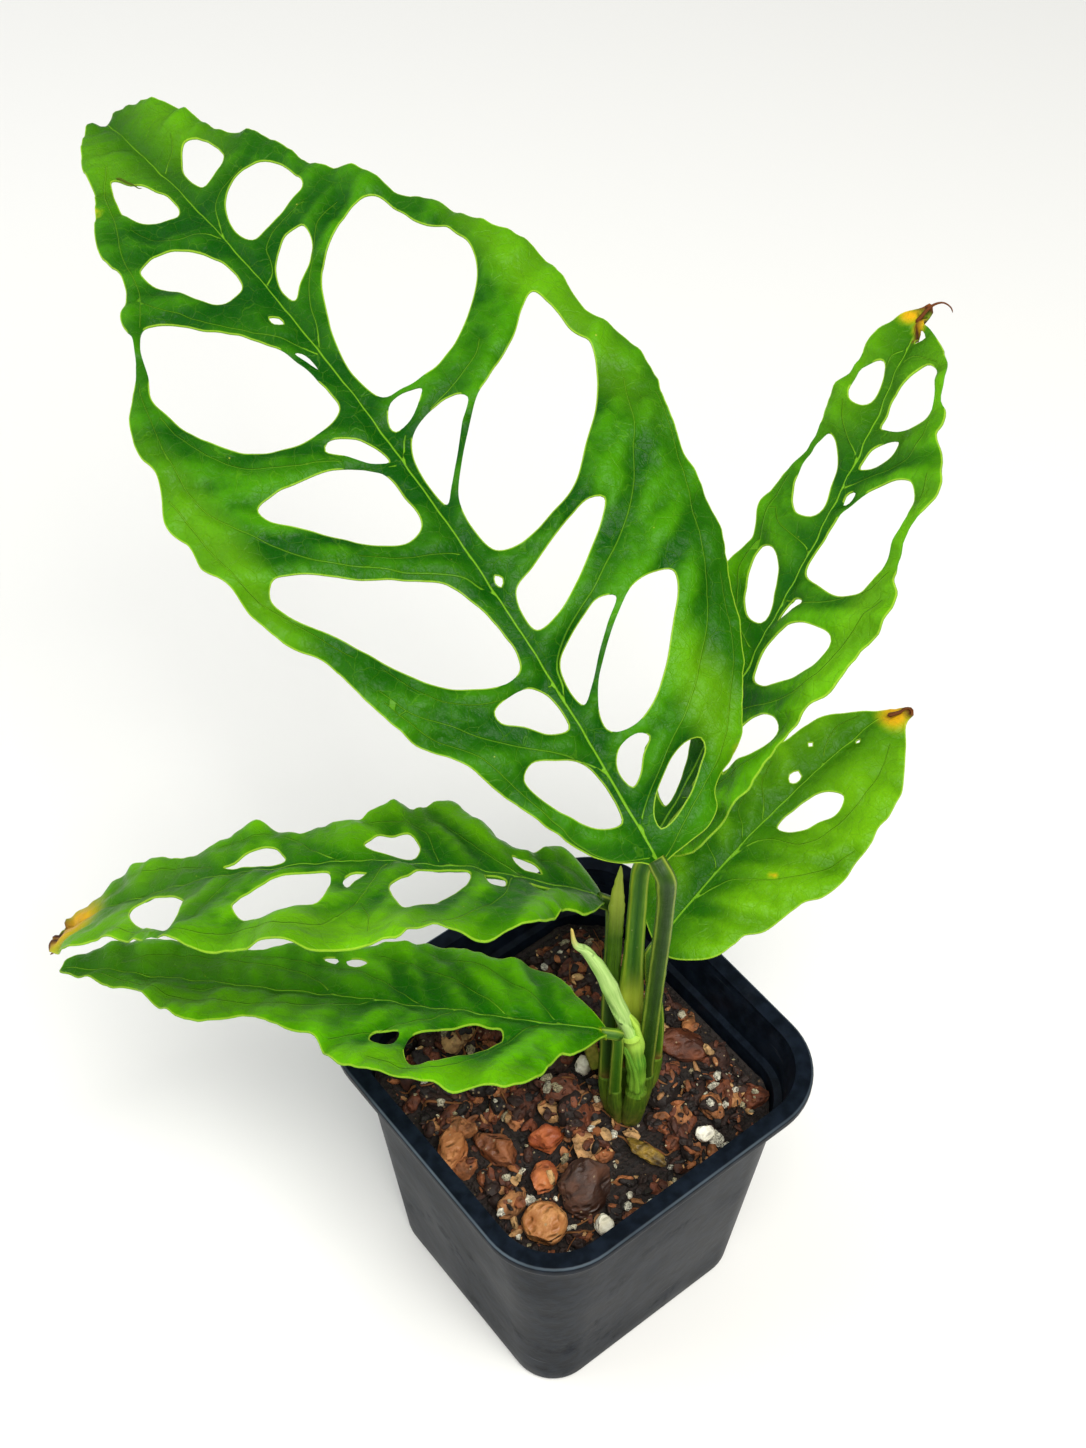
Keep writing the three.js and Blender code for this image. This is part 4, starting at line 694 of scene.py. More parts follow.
def finish_material(tree, shader, colour, roughness, height, strength, distance, others=None):
    """Gives a shader its colour, roughness and bump, and constants for its other inputs."""
    connect(tree, colour, shader.inputs["Base Color"])
    connect(tree, roughness, shader.inputs["Roughness"])
    bump = put(tree, "ShaderNodeBump", {"Height": height, "Strength": strength,
                                        "Distance": distance * MM})
    connect(tree, bump.outputs[0], shader.inputs["Normal"])
    for key, value in (others or {}).items():
        shader.inputs[key].default_value = value


# Materials

def leaf_material(name, deep, bright):
    """A perforated leaf: green between light veins, thin pale margins, yellow and dry patches."""
    material, tree, shader = start_material(name)
    place = place_on(tree, "UV")
    veins = use(tree, "veins", place=place, vein_distance=attribute(tree, "vein"))
    mottle = use(tree, "mottle", place=place, scale=5, contrast=0.22)
    mottle_and_fold_shade = maths(tree, "ADD", times(tree, mottle["Blotch"], 0.12),
                   times(tree, mottle["Fine"], 0.16))
    # Painted shade in the low folds and painted light on the raised ones, mixed with the leaf's own
    # mottling.
    mottle_and_fold_shade = ramp(tree, scaled(tree, attribute(tree, "painted_fold_shade"), 0.72, mottle_and_fold_shade), 0.1, 0.95)
    colour = blend(tree, mottle_and_fold_shade, paint(deep), paint(bright))
    # Painted shade along the veins and the midrib, painted light near the outer margin, the lighter
    # patches and the fine net.
    for value, strength, text in (
            (veins["Shade"], 0.5, deep), (attribute(tree, "light"), 0.42, "#72b00c"),
            (attribute(tree, "outer"), 0.35, bright), (attribute(tree, "painted_midrib_shade"), 0.7, deep),
            (veins["Net"], 0.17, VEIN_GREEN)):
        colour = tint(tree, colour, value, strength, text)
    pale = maths(tree, "MULTIPLY", veins["Vein"],
                 maths(tree, "ADD", attribute(tree, "midrib"), 0.4), clamp=True)
    colour = blend(tree, pale, colour, paint(VEIN_GREEN))
    margin = ramp(tree, attribute(tree, "edge"), 0.34, 0.08)
    specks = use(tree, "specks", place=place, scale=50, share=0.03, size=0.12)
    for value, strength, text in ((margin, 0.7, "#98bc30"), (specks["Speck"], 0.6, "#a9b23e"),
                                  (attribute(tree, "under"), 0.75, "#4f8a1c")):
        colour = tint(tree, colour, value, strength, text)
    yellow = blend(tree, attribute(tree, "yellow"), paint("#8fb810"), paint("#d09c14"))
    colour = blend(tree, times(tree, attribute(tree, "yellow"), 0.9), colour, yellow)
    brown = blend(tree, mottle["Fine"], paint("#2e160a"), paint("#7a4522"))
    colour = blend(tree, attribute(tree, "dry"), colour, brown)
    roughness = scaled(tree, mottle["Fine"], 0.1, 0.32)
    roughness = scaled(tree, attribute(tree, "dry"), 0.4, roughness)
    roughness = scaled(tree, attribute(tree, "under"), 0.2, roughness)
    height = scaled(tree, mottle["Fine"], 0.6, veins["Height"])
    finish_material(tree, shader, colour, roughness, height, 0.8, 0.35,
                    {"Specular IOR Level": 0.08, "Subsurface Weight": 0.1,
                     "Subsurface Radius": (0.5, 1, 0.1), "Subsurface Scale": 0.0012})
    return material


def stem_material(name, dark, light, scar="#6b4a22", rough=0.42, pale="#a8b83e"):
    """A ribbed green stem with pale stripes along it, specks and brownish scars."""
    material, tree, shader = start_material(name)
    stripes = use(tree, "grain", place=place_on(tree, "UV"), scale=3, stretch=(9, 0.35, 1), pits=0)
    place = place_on(tree, "Object")
    mottle = use(tree, "mottle", place=place, scale=90, contrast=0.18)
    share = maths(tree, "ADD", times(tree, stripes["Tone"], 0.65),
                  times(tree, mottle["Blotch"], 0.35), clamp=True)
    colour = blend(tree, share, paint(dark), paint(light))
    # Painted shade down the front channel of a stalk and along the seam of a rolled leaf.
    colour = blend(tree, attribute(tree, "painted_groove_shade"), colour, paint(dark))
    colour = blend(tree, attribute(tree, "lip"), colour, paint(pale))
    specks = use(tree, "specks", place=place, scale=700, share=0.1, size=0.22)
    colour = tint(tree, colour, specks["Speck"], 0.3, "#b4b878")
    brown = blend(tree, mottle["Fine"], paint(scar), paint("#9a7a3c"))
    colour = blend(tree, attribute(tree, "scar"), colour, brown)
    roughness = scaled(tree, mottle["Fine"], 0.15, rough)
    finish_material(tree, shader, colour, roughness, stripes["Height"], 0.35, 0.35,
                    {"Specular IOR Level": 0.25})
    return material


def new_leaf_material():
    """The pale, matt, still rolled leaf with dark specks and a yellowish tip."""
    material, tree, shader = start_material("rolled young leaf")
    place = place_on(tree, "Object")
    mottle = use(tree, "mottle", place=place, scale=60, contrast=0.25)
    lines = use(tree, "grain", place=place_on(tree, "UV"), scale=2.5, stretch=(7, 0.3, 1), pits=0)
    colour = blend(tree, lines["Tone"], paint("#86b848"), paint("#bfe080"))
    colour = tint(tree, colour, mottle["Blotch"], 0.35, "#c6d59a")
    specks = use(tree, "specks", place=place, scale=420, share=0.12, size=0.3)
    colour = tint(tree, colour, specks["Speck"], 0.8, "#3f5a24")
    # Painted shade along the seam where the outer turn of the rolled blade ends.
    colour = blend(tree, attribute(tree, "painted_groove_shade"), colour, paint("#4c7a20"))
    colour = blend(tree, attribute(tree, "scar"), colour, paint("#cdb45a"))
    finish_material(tree, shader, colour, 0.55, lines["Height"], 0.4, 0.3)
    return material


def bark_material(name, dark, light, wet=0.75):
    """Damp broken bark, fibrous along each piece."""
    material, tree, shader = start_material(name)
    place = place_on(tree, "Object")
    grain = use(tree, "grain", place=place, scale=260, stretch=(1, 0.45, 1.3), pits=0.6)
    mottle = use(tree, "mottle", place=place, scale=120, contrast=0.16)
    colour = blend(tree, grain["Tone"], paint(dark), paint(light))
    colour = tint(tree, colour, mottle["Blotch"], 0.5, dark)
    dust = use(tree, "specks", place=place, scale=900, share=0.08, size=0.35)
    colour = tint(tree, colour, dust["Speck"], 0.6, "#a48f6c")
    roughness = scaled(tree, mottle["Blotch"], -0.3, wet)
    finish_material(tree, shader, colour, roughness, grain["Height"], 0.95, 0.9)
    return material


def crumb_material(name, colours, specks_colour, scale, pits, rough):
    """Loose crumbs whose colours go from the first to the last by each crumb's own tone."""
    material, tree, shader = start_material(name)
    place = place_on(tree, "Object")
    grain = use(tree, "grain", place=place, scale=scale, stretch=(1, 1, 1), pits=pits)
    tone = attribute(tree, "tone")
    colour = paint(colours[0])
    for index, text in enumerate(colours[1:]):
        start = index / (len(colours) - 1)
        step = ramp(tree, tone, start, start + 1 / (len(colours) - 1))
        colour = blend(tree, step, colour, paint(text))
    shaded = blend(tree, 0.72, colour, paint("#0a0402"))
    colour = blend(tree, grain["Tone"], shaded, colour)
    dust = use(tree, "specks", place=place, scale=1100, share=0.07, size=0.36)
    colour = tint(tree, colour, dust["Speck"], 0.6, specks_colour)
    finish_material(tree, shader, colour, rough, grain["Height"], 0.9, 0.8)
    return material


def pot_material():
    """Black moulded plastic: satin, with fine scratches, painted highlights along the edges of its
    rim and step, and soil dust.
    """
    material, tree, shader = start_material("black moulded plastic")
    place = place_on(tree, "Object")
    scuffs = use(tree, "scuffs", place=place, amount=0.8)
    mottle = use(tree, "mottle", place=place, scale=35, contrast=0.2)
    colour = blend(tree, mottle["Fine"], paint("#090e15"), paint("#131a24"))
    colour = tint(tree, colour, scuffs["Dust"], 0.08, "#5a5148")
    colour = tint(tree, colour, scuffs["Scratch"], 0.5, "#5d6167")
    # Painted highlight, bluish grey, on the rings at the rim's edges and the step.
    highlight_strength = scaled(tree, mottle["Blotch"], 0.4, 0.2)
    colour = tint(tree, colour, attribute(tree, "painted_highlight"), highlight_strength, "#6c7a84")
    roughness = maths(tree, "ADD", scaled(tree, mottle["Blotch"], 0.1, 0.36),
                      times(tree, scuffs["Dust"], 0.4), clamp=True)
    height = scaled(tree, scuffs["Scratch"], -0.6, mottle["Fine"])
    finish_material(tree, shader, colour, roughness, height, 0.12, 0.2,
                    {"Specular IOR Level": 0.05})
    return material


# Mesh helpers

def smooth_line(through, spacing, closed=False):
    """Points about spacing apart on a centripetal Catmull-Rom line through the given points."""
    knots = np.array(through, float)
    count = len(knots)
    if closed:
        extended = np.vstack([knots[-1:], knots, knots[:2]])
    else:
        extended = np.vstack([2 * knots[:1] - knots[1:2], knots, 2 * knots[-1:] - knots[-2:-1]])
    points = []
    for i in range(count if closed else count - 1):
        p0, p1, p2, p3 = extended[i:i + 4]
        d0, d1, d2 = (max(np.linalg.norm(b - a) ** 0.5, 1e-4)
                      for a, b in ((p0, p1), (p1, p2), (p2, p3)))
        m1 = ((p1 - p0) / d0 - (p2 - p0) / (d0 + d1) + (p2 - p1) / d1) * d1
        m2 = ((p2 - p1) / d1 - (p3 - p1) / (d1 + d2) + (p3 - p2) / d2) * d1
        pieces = max(1, round(np.linalg.norm(p2 - p1) / spacing))
        for t in np.arange(pieces) / pieces:
            points.append((2 * t**3 - 3 * t**2 + 1) * p1 + (t**3 - 2 * t**2 + t) * m1
                          + (3 * t**2 - 2 * t**3) * p2 + (t**3 - t**2) * m2)
    if not closed:
        points.append(knots[-1])
    return np.array(points)


def noise_at(x, y, z):
    """Noise at each of the places whose coordinates are arrays or single numbers."""
    return np.array([noise.noise(Vector(place)) for place in np.broadcast(x, y, z)])


def add_piece(name, points, faces, material, replaces=(), uv=None, values=None, crease=None,
              sharp_edges=()):
    """A mesh object from points in millimetres, riding on the plant's one body."""
    mesh = bpy.data.meshes.new(name)
    mesh.from_pydata((np.asarray(points) * MM).tolist(), [],
                     [tuple(int(i) for i in face) for face in faces])
    mesh.update()
    mesh.polygons.foreach_set("use_smooth", [True] * len(mesh.polygons))
    if crease:
        mesh.set_sharp_from_angle(angle=math.radians(crease))
    if len(sharp_edges):
        wanted = set(sharp_edges)
        flags = [tuple(sorted(edge.vertices)) in wanted for edge in mesh.edges]
        mesh.attributes.new("sharp_edge", "BOOLEAN", "EDGE").data.foreach_set("value", flags)
    if uv is not None:
        layer = mesh.uv_layers.new(name="surface")
        loop_points = np.empty(len(mesh.loops), int)
        mesh.loops.foreach_get("vertex_index", loop_points)
        layer.data.foreach_set("uv", np.asarray(uv, np.float32)[loop_points].ravel())
    for key, numbers in (values or {}).items():
        layer = mesh.attributes.new(key, "FLOAT", "POINT")
        layer.data.foreach_set("value", np.asarray(numbers, np.float32))
    mesh.materials.append(material)
    piece = bpy.data.objects.new(name, mesh)
    bpy.context.scene.collection.objects.link(piece)
    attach(piece, "root")
    if replaces:
        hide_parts(*replaces)
    return piece


def merge_parts(parts):
    """Joins (points, faces, values) parts into one set of arrays."""
    points, faces, values, start = [], [], {}, 0
    for part_points, part_faces, part_values in parts:
        points.append(part_points)
        faces += [tuple(i + start for i in face) for face in part_faces]
        for key, numbers in part_values.items():
            values.setdefault(key, []).append(numbers)
        start += len(part_points)
    return np.vstack(points), faces, {key: np.concatenate(v) for key, v in values.items()}


def add_grown(name, parts, material, replaces=(), sharp_edges=()):
    """A piece of several parts, whose values u and v are its surface coordinates."""
    points, faces, values = merge_parts(parts)
    uv = np.column_stack([values.pop("u"), values.pop("v")])
    add_piece(name, points, faces, material, replaces, uv, values, sharp_edges=sharp_edges)


def inside(polygon, points):
    """Which points lie inside a closed polygon."""
    x, y = points[:, 0], points[:, 1]
    result = np.zeros(len(points), bool)
    for (x1, y1), (x2, y2) in zip(polygon, np.roll(polygon, -1, axis=0)):
        if y1 != y2:
            result ^= ((y1 > y) != (y2 > y)) & (x < (x2 - x1) * (y - y1) / (y2 - y1) + x1)
    return result


def line_distance(points, line, closed=False):
    """Distance from each point to a line of points, and the share along it."""
    ends = np.roll(line, -1, axis=0) if closed else line[1:]
    best = np.full(len(points), 1e9)
    share = np.zeros(len(points))
    starts = line if closed else line[:-1]
    for i, (a, b) in enumerate(zip(starts, ends)):
        step = b - a
        t = np.clip(((points - a) @ step) / max(step @ step, 1e-9), 0, 1)
        gap = np.hypot(*(points - a - t[:, None] * step).T)
        near = gap < best
        best[near] = gap[near]
        share[near] = (i + t[near]) / len(starts)
    return best, share


def ring_faces(rings, count):
    """Four-sided faces between rings of count points each."""
    faces = []
    for ring in range(rings - 1):
        for i in range(count):
            a, b = ring * count + i, ring * count + (i + 1) % count
            faces.append((a, b, b + count, a + count))
    return faces


def tube(path, section, sides, face=FACING, rounded=0.0):
    """A closed tube along path. section(angles, share) gives its radii, angle 0 facing face."""
    angles = 2 * np.pi * np.arange(sides) / sides
    tangents = np.gradient(path, axis=0)
    tangents /= np.linalg.norm(tangents, axis=1)[:, None]
    lengths = np.concatenate([[0], np.cumsum(np.linalg.norm(np.diff(path, axis=0), axis=1))])
    face = np.array(face, float)
    points, uv, shares = [], [], []
    for centre, tangent, length in zip(path, tangents, lengths):
        share = length / lengths[-1]
        front = face - (face @ tangent) * tangent
        front /= np.linalg.norm(front)
        side = np.cross(tangent, front)
        radii = section(angles, share)
        if rounded:
            left = min(length, lengths[-1] - length) / rounded
            radii = radii * math.sqrt(max(1 - max(1 - left, 0) ** 2, 0.02))
        points.append(centre + np.outer(radii * np.cos(angles), front)
                      + np.outer(radii * np.sin(angles), side))
        uv.append(np.column_stack([angles / (2 * np.pi), np.full(sides, length / 10)]))
        shares.append(np.full(sides, share))
    last = (len(path) - 1) * sides
    faces = ring_faces(len(path), sides)
    faces += [tuple(range(sides - 1, -1, -1)), tuple(range(last, last + sides))]
    return (np.vstack(points), faces, np.vstack(uv), np.concatenate(shares),
            np.tile(angles, len(path)))


def flattened(angles, front, side=1):
    """Radii that go from front at angle 0 to side at a right angle to it."""
    return np.hypot(np.cos(angles) * front, side * np.sin(angles))


# Blades

def blade_axes(leaf, share):
    """The directions along, across and out of a blade's surface at shares of its length."""
    heading = np.radians(leaf["heading"] + leaf["bend"] * share)
    pitch = np.radians(leaf["pitch"][0] + (leaf["pitch"][1] - leaf["pitch"][0]) * share)
    roll = math.radians(leaf["roll"])
    along = np.stack([np.cos(pitch) * np.cos(heading), np.cos(pitch) * np.sin(heading),
                      np.sin(pitch)], -1)
    level = np.stack([-np.sin(heading), np.cos(heading), 0 * heading], -1)
    upright = np.cross(along, level)
    return along, level * math.cos(roll) + upright * math.sin(roll), \
        upright * math.cos(roll) - level * math.sin(roll)


def blade_points(leaf, u, v, lift):
    """Points of the bent blade at (u, v), raised out of its upper face by lift."""
    steps = BEND_STEPS
    middles = (np.arange(steps) + 0.5) / steps
    along, _, _ = blade_axes(leaf, middles)
    base = np.array(leaf["base"], float)
    midrib = np.vstack([base, base + np.cumsum(along * leaf["length"] / steps, axis=0)])
    share = u / leaf["length"]
    held = np.clip(share, 0, 1)
    place = np.minimum(held * steps, steps - 1e-6)
    step = place.astype(int)
    along, across, out = blade_axes(leaf, held)
    fold, rate = math.radians(leaf["fold"]), math.radians(leaf["droop"]) / 100
    slope = fold - rate * np.abs(v)
    side = np.sign(v)
    reach = (math.sin(fold) - np.sin(slope)) / rate
    rise = (np.cos(slope) - math.cos(fold)) / rate
    normal = out * np.cos(slope)[:, None] - across * (side * np.sin(slope))[:, None]
    left, right = leaf["waves"]
    height, spacing, phase = (np.where(v > 0, a, b) for a, b in zip(left, right))
    edge = np.minimum(np.abs(v) / leaf["half_width"], 1.2)
    wave = height * edge * edge * np.sin(2 * np.pi * (u / spacing + phase))
    part = (place - step)[:, None]
    return midrib[step] * (1 - part) + midrib[step + 1] * part \
        + along * ((share - held) * leaf["length"])[:, None] + across * (side * reach)[:, None] \
        + out * rise[:, None] + normal * (lift + wave)[:, None]


def rib_radius(leaf, u):
    """A midrib's radius at u along its blade."""
    return RIB_BASE + (RIB_TIP - RIB_BASE) * np.sqrt(np.clip(u / leaf["length"], 0, 1))


def flat_triangles(outline, holes, extra_points, extra_lines):
    """Points and triangles that fill an outline outside its holes, with edges along the lines."""
    lines = [outline, *holes]
    ends, edges = [], []
    for line in lines:
        start = len(ends)
        ends += line.tolist()
        edges += [(start + i, start + (i + 1) % len(line)) for i in range(len(line))]
    for line in extra_lines:
        start = len(ends)
        ends += line.tolist()
        edges += [(start + i, start + i + 1) for i in range(len(line) - 1)]
    ends += extra_points.tolist()
    found = delaunay_2d_cdt([Vector(c) for c in ends], edges, [], 0, 1e-4, False)
    points = np.array([(p.x, p.y) for p in found[0]])
    triangles = np.array(found[2])
    middles = points[triangles].mean(axis=1)
    keep = inside(outline, middles)
    for hole in holes:
        keep &= ~inside(hole, middles)
    triangles = triangles[keep]
    used, triangles = np.unique(triangles, return_inverse=True)
    points, triangles = points[used], triangles.reshape(-1, 3)
    a, b, c = (points[triangles[:, i]] for i in range(3))
    (ux, uy), (vx, vy) = (b - a).T, (c - a).T
    clockwise = ux * vy < uy * vx
    triangles[clockwise] = triangles[clockwise][:, ::-1]
    return points, triangles


def border_edges(triangles):
    """Directed edges that only one triangle uses."""
    directed = np.vstack([triangles[:, [0, 1]], triangles[:, [1, 2]], triangles[:, [2, 0]]])
    present = set(map(tuple, directed.tolist()))
    return [edge for edge in directed.tolist() if (edge[1], edge[0]) not in present]


def patches(spots, u, v):
    """How far each point lies inside any of the elliptical patches, from 0 to 1."""
    total = np.zeros(len(u))
    for middle_u, middle_v, along, across in spots:
        gap = np.hypot((u - middle_u) / along, (v - middle_v) / across)
        total = np.maximum(total, np.clip(1.7 - 1.4 * gap, 0, 1))
    return total


def blade_mesh(leaf, outline, holes, veins):
    """Flat points and triangles of a blade, with edges along its veins and its midrib."""
    low, high = outline.min(axis=0), outline.max(axis=0)
    rows = []
    for i, row in enumerate(np.arange(low[1], high[1], GRID * 0.87)):
        places = np.arange(low[0] + (i % 2) * GRID / 2, high[0], GRID)
        rows.append(np.column_stack([places, np.full(len(places), row)]))
    grid = np.vstack(rows)
    grid = grid[inside(outline, grid)]
    grid = grid[line_distance(grid, outline, True)[0] > MARGIN_ROOM]
    for hole in holes:
        grid = grid[~inside(hole, grid) & (line_distance(grid, hole, True)[0] > MARGIN_ROOM)]
    for _, line in veins:
        grid = grid[line_distance(grid, line)[0] > VEIN_ROOM]
    grid = grid[np.abs(grid[:, 1]) > rib_radius(leaf, grid[:, 0]) + RIB_ROOM]
    lines = []
    for _, line in veins:
        line = line[np.abs(line[:, 1]) > rib_radius(leaf, line[:, 0]) + LINE_ROOM]
        clear = inside(outline, line) & (line_distance(line, outline, True)[0] > LINE_ROOM)
        for hole in holes:
            clear &= ~inside(hole, line) & (line_distance(line, hole, True)[0] > LINE_ROOM)
        runs = np.split(np.arange(len(line)), np.flatnonzero(~clear))
        lines += [line[run[clear[run]]] for run in runs if clear[run].sum() > 1]
    along = np.arange(0.4, leaf["length"] - 0.8, 1.1)
    for share in (-1, -0.5, 0, 0.5, 1):
        line = np.column_stack([along, share * rib_radius(leaf, along)])
        lines.append(line[inside(outline, line)])
    return flat_triangles(outline, holes, grid, lines)


def make_blade(name, material):
    """A blade with two skins, quilted between its veins and ruffled along its margin."""
    leaf = LEAVES[name]
    outline = smooth_line(leaf["outline"], LINE_SPACING, closed=True)
    holes = [smooth_line(hole, LINE_SPACING, closed=True) for hole in leaf["holes"]]
    veins = [(half, smooth_line(line, 1.2)) for half, line in VEINS[name]]
    points, triangles = blade_mesh(leaf, outline, holes, veins)

    # Distances from the outline, the nearest two edges and the veins
    u, v = points.T
    width = np.abs(v)
    outer, around = line_distance(points, outline, True)
    edge, second, *_ = np.sort(
        [outer, *(line_distance(points, hole, True)[0] for hole in holes)], axis=0)
    radius = rib_radius(leaf, u)
    vein = width - MIDRIB_WIDTH * radius
    for half, line in veins:
        gap, share = line_distance(points, line)
        vein = np.minimum(vein, gap - VEIN_WIDTH * half * (1.15 - 0.6 * share))
    bridge = np.clip(3 - edge - second, 0, 1)
    dry = patches(DRY[name], u, v)

    # Quilting between the veins, small lumps, a channel along the midrib and a turned-down margin
    quilt = 0.8 * (1 - np.exp(-np.clip(vein, 0, None) / 2.8))
    lumps = noise_at(u * 0.11, v * 0.11, 3.1) + 0.62 * noise_at(u * 0.3, v * 0.3, 7.7)
    channel = -0.35 * np.exp(-(v / (2.2 * radius)) ** 2) + 0.3 * np.exp(-(v / (0.8 * radius)) ** 2)
    pucker = noise_at(u * 0.2 - width * 0.09, width * 0.05, np.where(v > 0, 11.3, 4.4))
    rolled = -0.7 * np.exp(-edge / 1.5)
    turns = around * len(outline) * LINE_SPACING
    crinkle = noise_at(turns / 6, 2.3, 1) + 0.45 * noise_at(turns / 2.6, 5.1, 2)
    taper = np.clip(u / 12, 0, 1)
    ruffle = RUFFLE[name] * taper * crinkle * np.exp(-outer / 4.5)
    wrinkle = dry * 1.1 * np.sin(1.3 * u + 0.9 * v)
    relief = quilt - 0.25 + 0.85 * lumps * taper \
        + PUCKER * pucker * taper * np.clip(width / 6, 0, 1) \
        + channel + rolled + ruffle + wrinkle
    half = 0.5 * (MARGIN_THICKNESS + (THICKNESS - MARGIN_THICKNESS) * np.clip(edge / 2, 0, 1))
    swell = np.sqrt(np.clip(1 - (v / radius) ** 2, 0, 1)) * radius * 0.95
    ridge = 0.28 * np.clip(-vein / 0.35 + 0.3, 0, 1) * (swell == 0)
    upper = blade_points(leaf, u, v, relief + half)
    lower = blade_points(leaf, u, v, relief - half - swell - ridge)

    count = len(points)
    border = border_edges(triangles)
    faces = triangles.tolist() + (triangles[:, ::-1] + count).tolist() \
        + [(b, a, a + count, b + count) for a, b in border]
    sharp = [tuple(sorted((a + shift, b + shift))) for a, b in border for shift in (0, count)]
    # Painted shade: darker where the relief is low, lighter where it is high.
    painted_fold_shade = np.clip(0.42 + 0.4 * lumps + 1.1 * pucker + 0.35 * crinkle * np.exp(-outer / 5), 0, 1)
    # Painted shade along the midrib and painted light near the outer margin are among these values.
    shown = {"vein": vein + bridge, "edge": edge + bridge, "dry": dry,
             "yellow": patches(YELLOW[name], u, v), "light": patches(LIGHT[name], u, v),
             "outer": np.exp(-outer / 5), "midrib": np.exp(-((width / 2) ** 2)),
             "painted_midrib_shade": np.exp(-((v / 7) ** 2)), "painted_fold_shade": painted_fold_shade, "u": u / 100, "v": v / 100}
    values = {key: np.tile(value, 2) for key, value in shown.items()}
    values["under"] = np.repeat([0.0, 1.0], count)
    parts = [(np.vstack([upper, lower]), faces, values)]
    for line, thick, dryness in WITHERED[name]:
        curl, curl_faces, *_ = tube(
            smooth_line(line, 0.5), lambda a, s: thick * (1 - 0.75 * s) * flattened(a, 1, 0.4),
            sides=10, rounded=0.3)
        fixed = {"vein": 9, "edge": 9, "dry": dryness, "painted_fold_shade": 0.5}
        parts.append((curl, curl_faces,
                      {key: np.full(len(curl), fixed.get(key, 0.0)) for key in values}))
    add_grown("leaf_" + name, parts, material, ["blade_" + name], sharp)


# Stalks, crown and new leaf

def around_front(angles):
    """How far each angle is from a stem's front, which has angle 0."""
    return np.minimum(angles, 2 * np.pi - angles)


def stalk_path(name):
    """The middle line of a stalk, which ends inside the foot of its blade's midrib."""
    leaf = LEAVES[name]
    points, _ = STALKS[name]
    along, _, _ = blade_axes(leaf, np.array([0.0]))
    depth = -(0.4 + RIB_BASE * 0.4)
    seat = blade_points(leaf, np.array([0.0]), np.array([0.0]), np.array([depth]))[0]
    return smooth_line([*points, seat - 2.3 * along[0], seat, seat + 1.6 * along[0]], 0.9)


def make_stalk(name, material, section, extra=(), scars=(), pale=(), strength=1.0):
    """A stalk with its own section, parts grown on it, and scars and pale patches by share."""
    path = stalk_path(name)
    low, high = STALKS[name][1]
    points, faces, uv, shares, angles = tube(
        path, lambda a, s: (low + (high - low) * s) * section(a, s), sides=STALK_SIDES)
    wobble = np.array([noise.noise(Vector(p) * 0.35) for p in points])
    centres = path[np.repeat(np.arange(len(path)), STALK_SIDES)]
    points = centres + (points - centres) * (1 + 0.05 * wobble)[:, None]
    front = around_front(angles)
    # Painted shade in the channel down the front.
    painted_groove_shade = np.exp(-(front / 0.62) ** 2)
    lip = 0.6 * np.exp(-((front - 0.95) / 0.14) ** 2)
    for share, width in pale:
        lip = np.maximum(lip, 0.75 * np.exp(-((shares - share) / width) ** 2) * (front < 1.4))
    scar = np.zeros(len(points))
    for share, width in scars:
        scar = np.maximum(scar, strength * np.exp(-((shares - share) / width) ** 2))
    values = {"painted_groove_shade": painted_groove_shade, "scar": scar, "lip": lip, "u": uv[:, 0], "v": uv[:, 1]}
    add_grown("fine_stalk_" + name, [(points, faces, values), *extra], material,
              ["stalk_" + name])


def stem_part(line, section, painted_groove_shade=0.0, scar=0.0, lip=0.0, sides=16, spacing=0.8, rounded=0.5,
              face=FACING):
    """A closed part that is grown on a piece. scar and lip may be functions of the share."""
    points, faces, uv, shares, _ = tube(smooth_line(line, spacing), section, sides, face, rounded)
    wobble = np.array([noise.noise(Vector(p) * 0.5 + Vector((9, 4, 1))) for p in points])
    full = np.ones(len(points))
    scar, lip = (full * value if np.isscalar(value) else value(shares) for value in (scar, lip))
    return (points + 0.12 * wobble[:, None], faces,
            {"painted_groove_shade": full * painted_groove_shade, "scar": scar, "lip": lip, "u": uv[:, 0], "v": uv[:, 1]})


def channel_section(depth, width=0.55, flat=1.0):
    """Radii of a stem with a channel on its front, flattened from side to side."""
    def section(angles, share):
        channel = depth * np.exp(-(around_front(angles) / width) ** 2)
        return (1 - channel) * flattened(angles, 1, flat)
    return section


def make_stalks():
    """The five stalks, that of leaf d with the free flap of its sheath and a dry stub."""
    olive = stem_material("dark olive stalk", "#1d3a04", "#4f7412")
    bright = stem_material("bright channelled stalk", "#24560a", "#6f9c1a", pale="#b4c23a")
    green = stem_material("green stalk", "#2b5608", "#6e9420")

    def swollen(angles, share):
        bend = 1 + 0.16 * math.exp(-((share - 0.93) / 0.05) ** 2)
        return channel_section(0.1)(angles, share) * bend

    def broad(angles, share):
        wide = 1 + 0.35 * math.exp(-((share - 0.3) / 0.22) ** 2)
        return channel_section(0.34, 0.5, wide)(angles, share)

    make_stalk("a", olive, swollen)
    make_stalk("b", bright, broad, scars=[(0.02, 0.05)], pale=[(0.36, 0.09)])
    make_stalk("c", green, channel_section(0.12), scars=[(0.03, 0.06)])
    flap = stem_part(
        FLAP_D, lambda a, s: 1.75 * min(1, ((1 - s) / 0.3) ** 0.7) * flattened(a, 0.45),
        lip=lambda s: 0.75 * np.clip(3 * s - 1.4, 0, 1))
    stub = stem_part(STUB_D, lambda a, s: (1.6 - 0.6 * s) * (1 - 0.2 * np.cos(3 * a)),
                     scar=lambda s: 0.25 + 0.6 * s)
    make_stalk("d", olive, channel_section(0.14), extra=[flap, stub], strength=0.5,
               scars=[(0.02, 0.05)])
    make_stalk("e", green, channel_section(0.1))


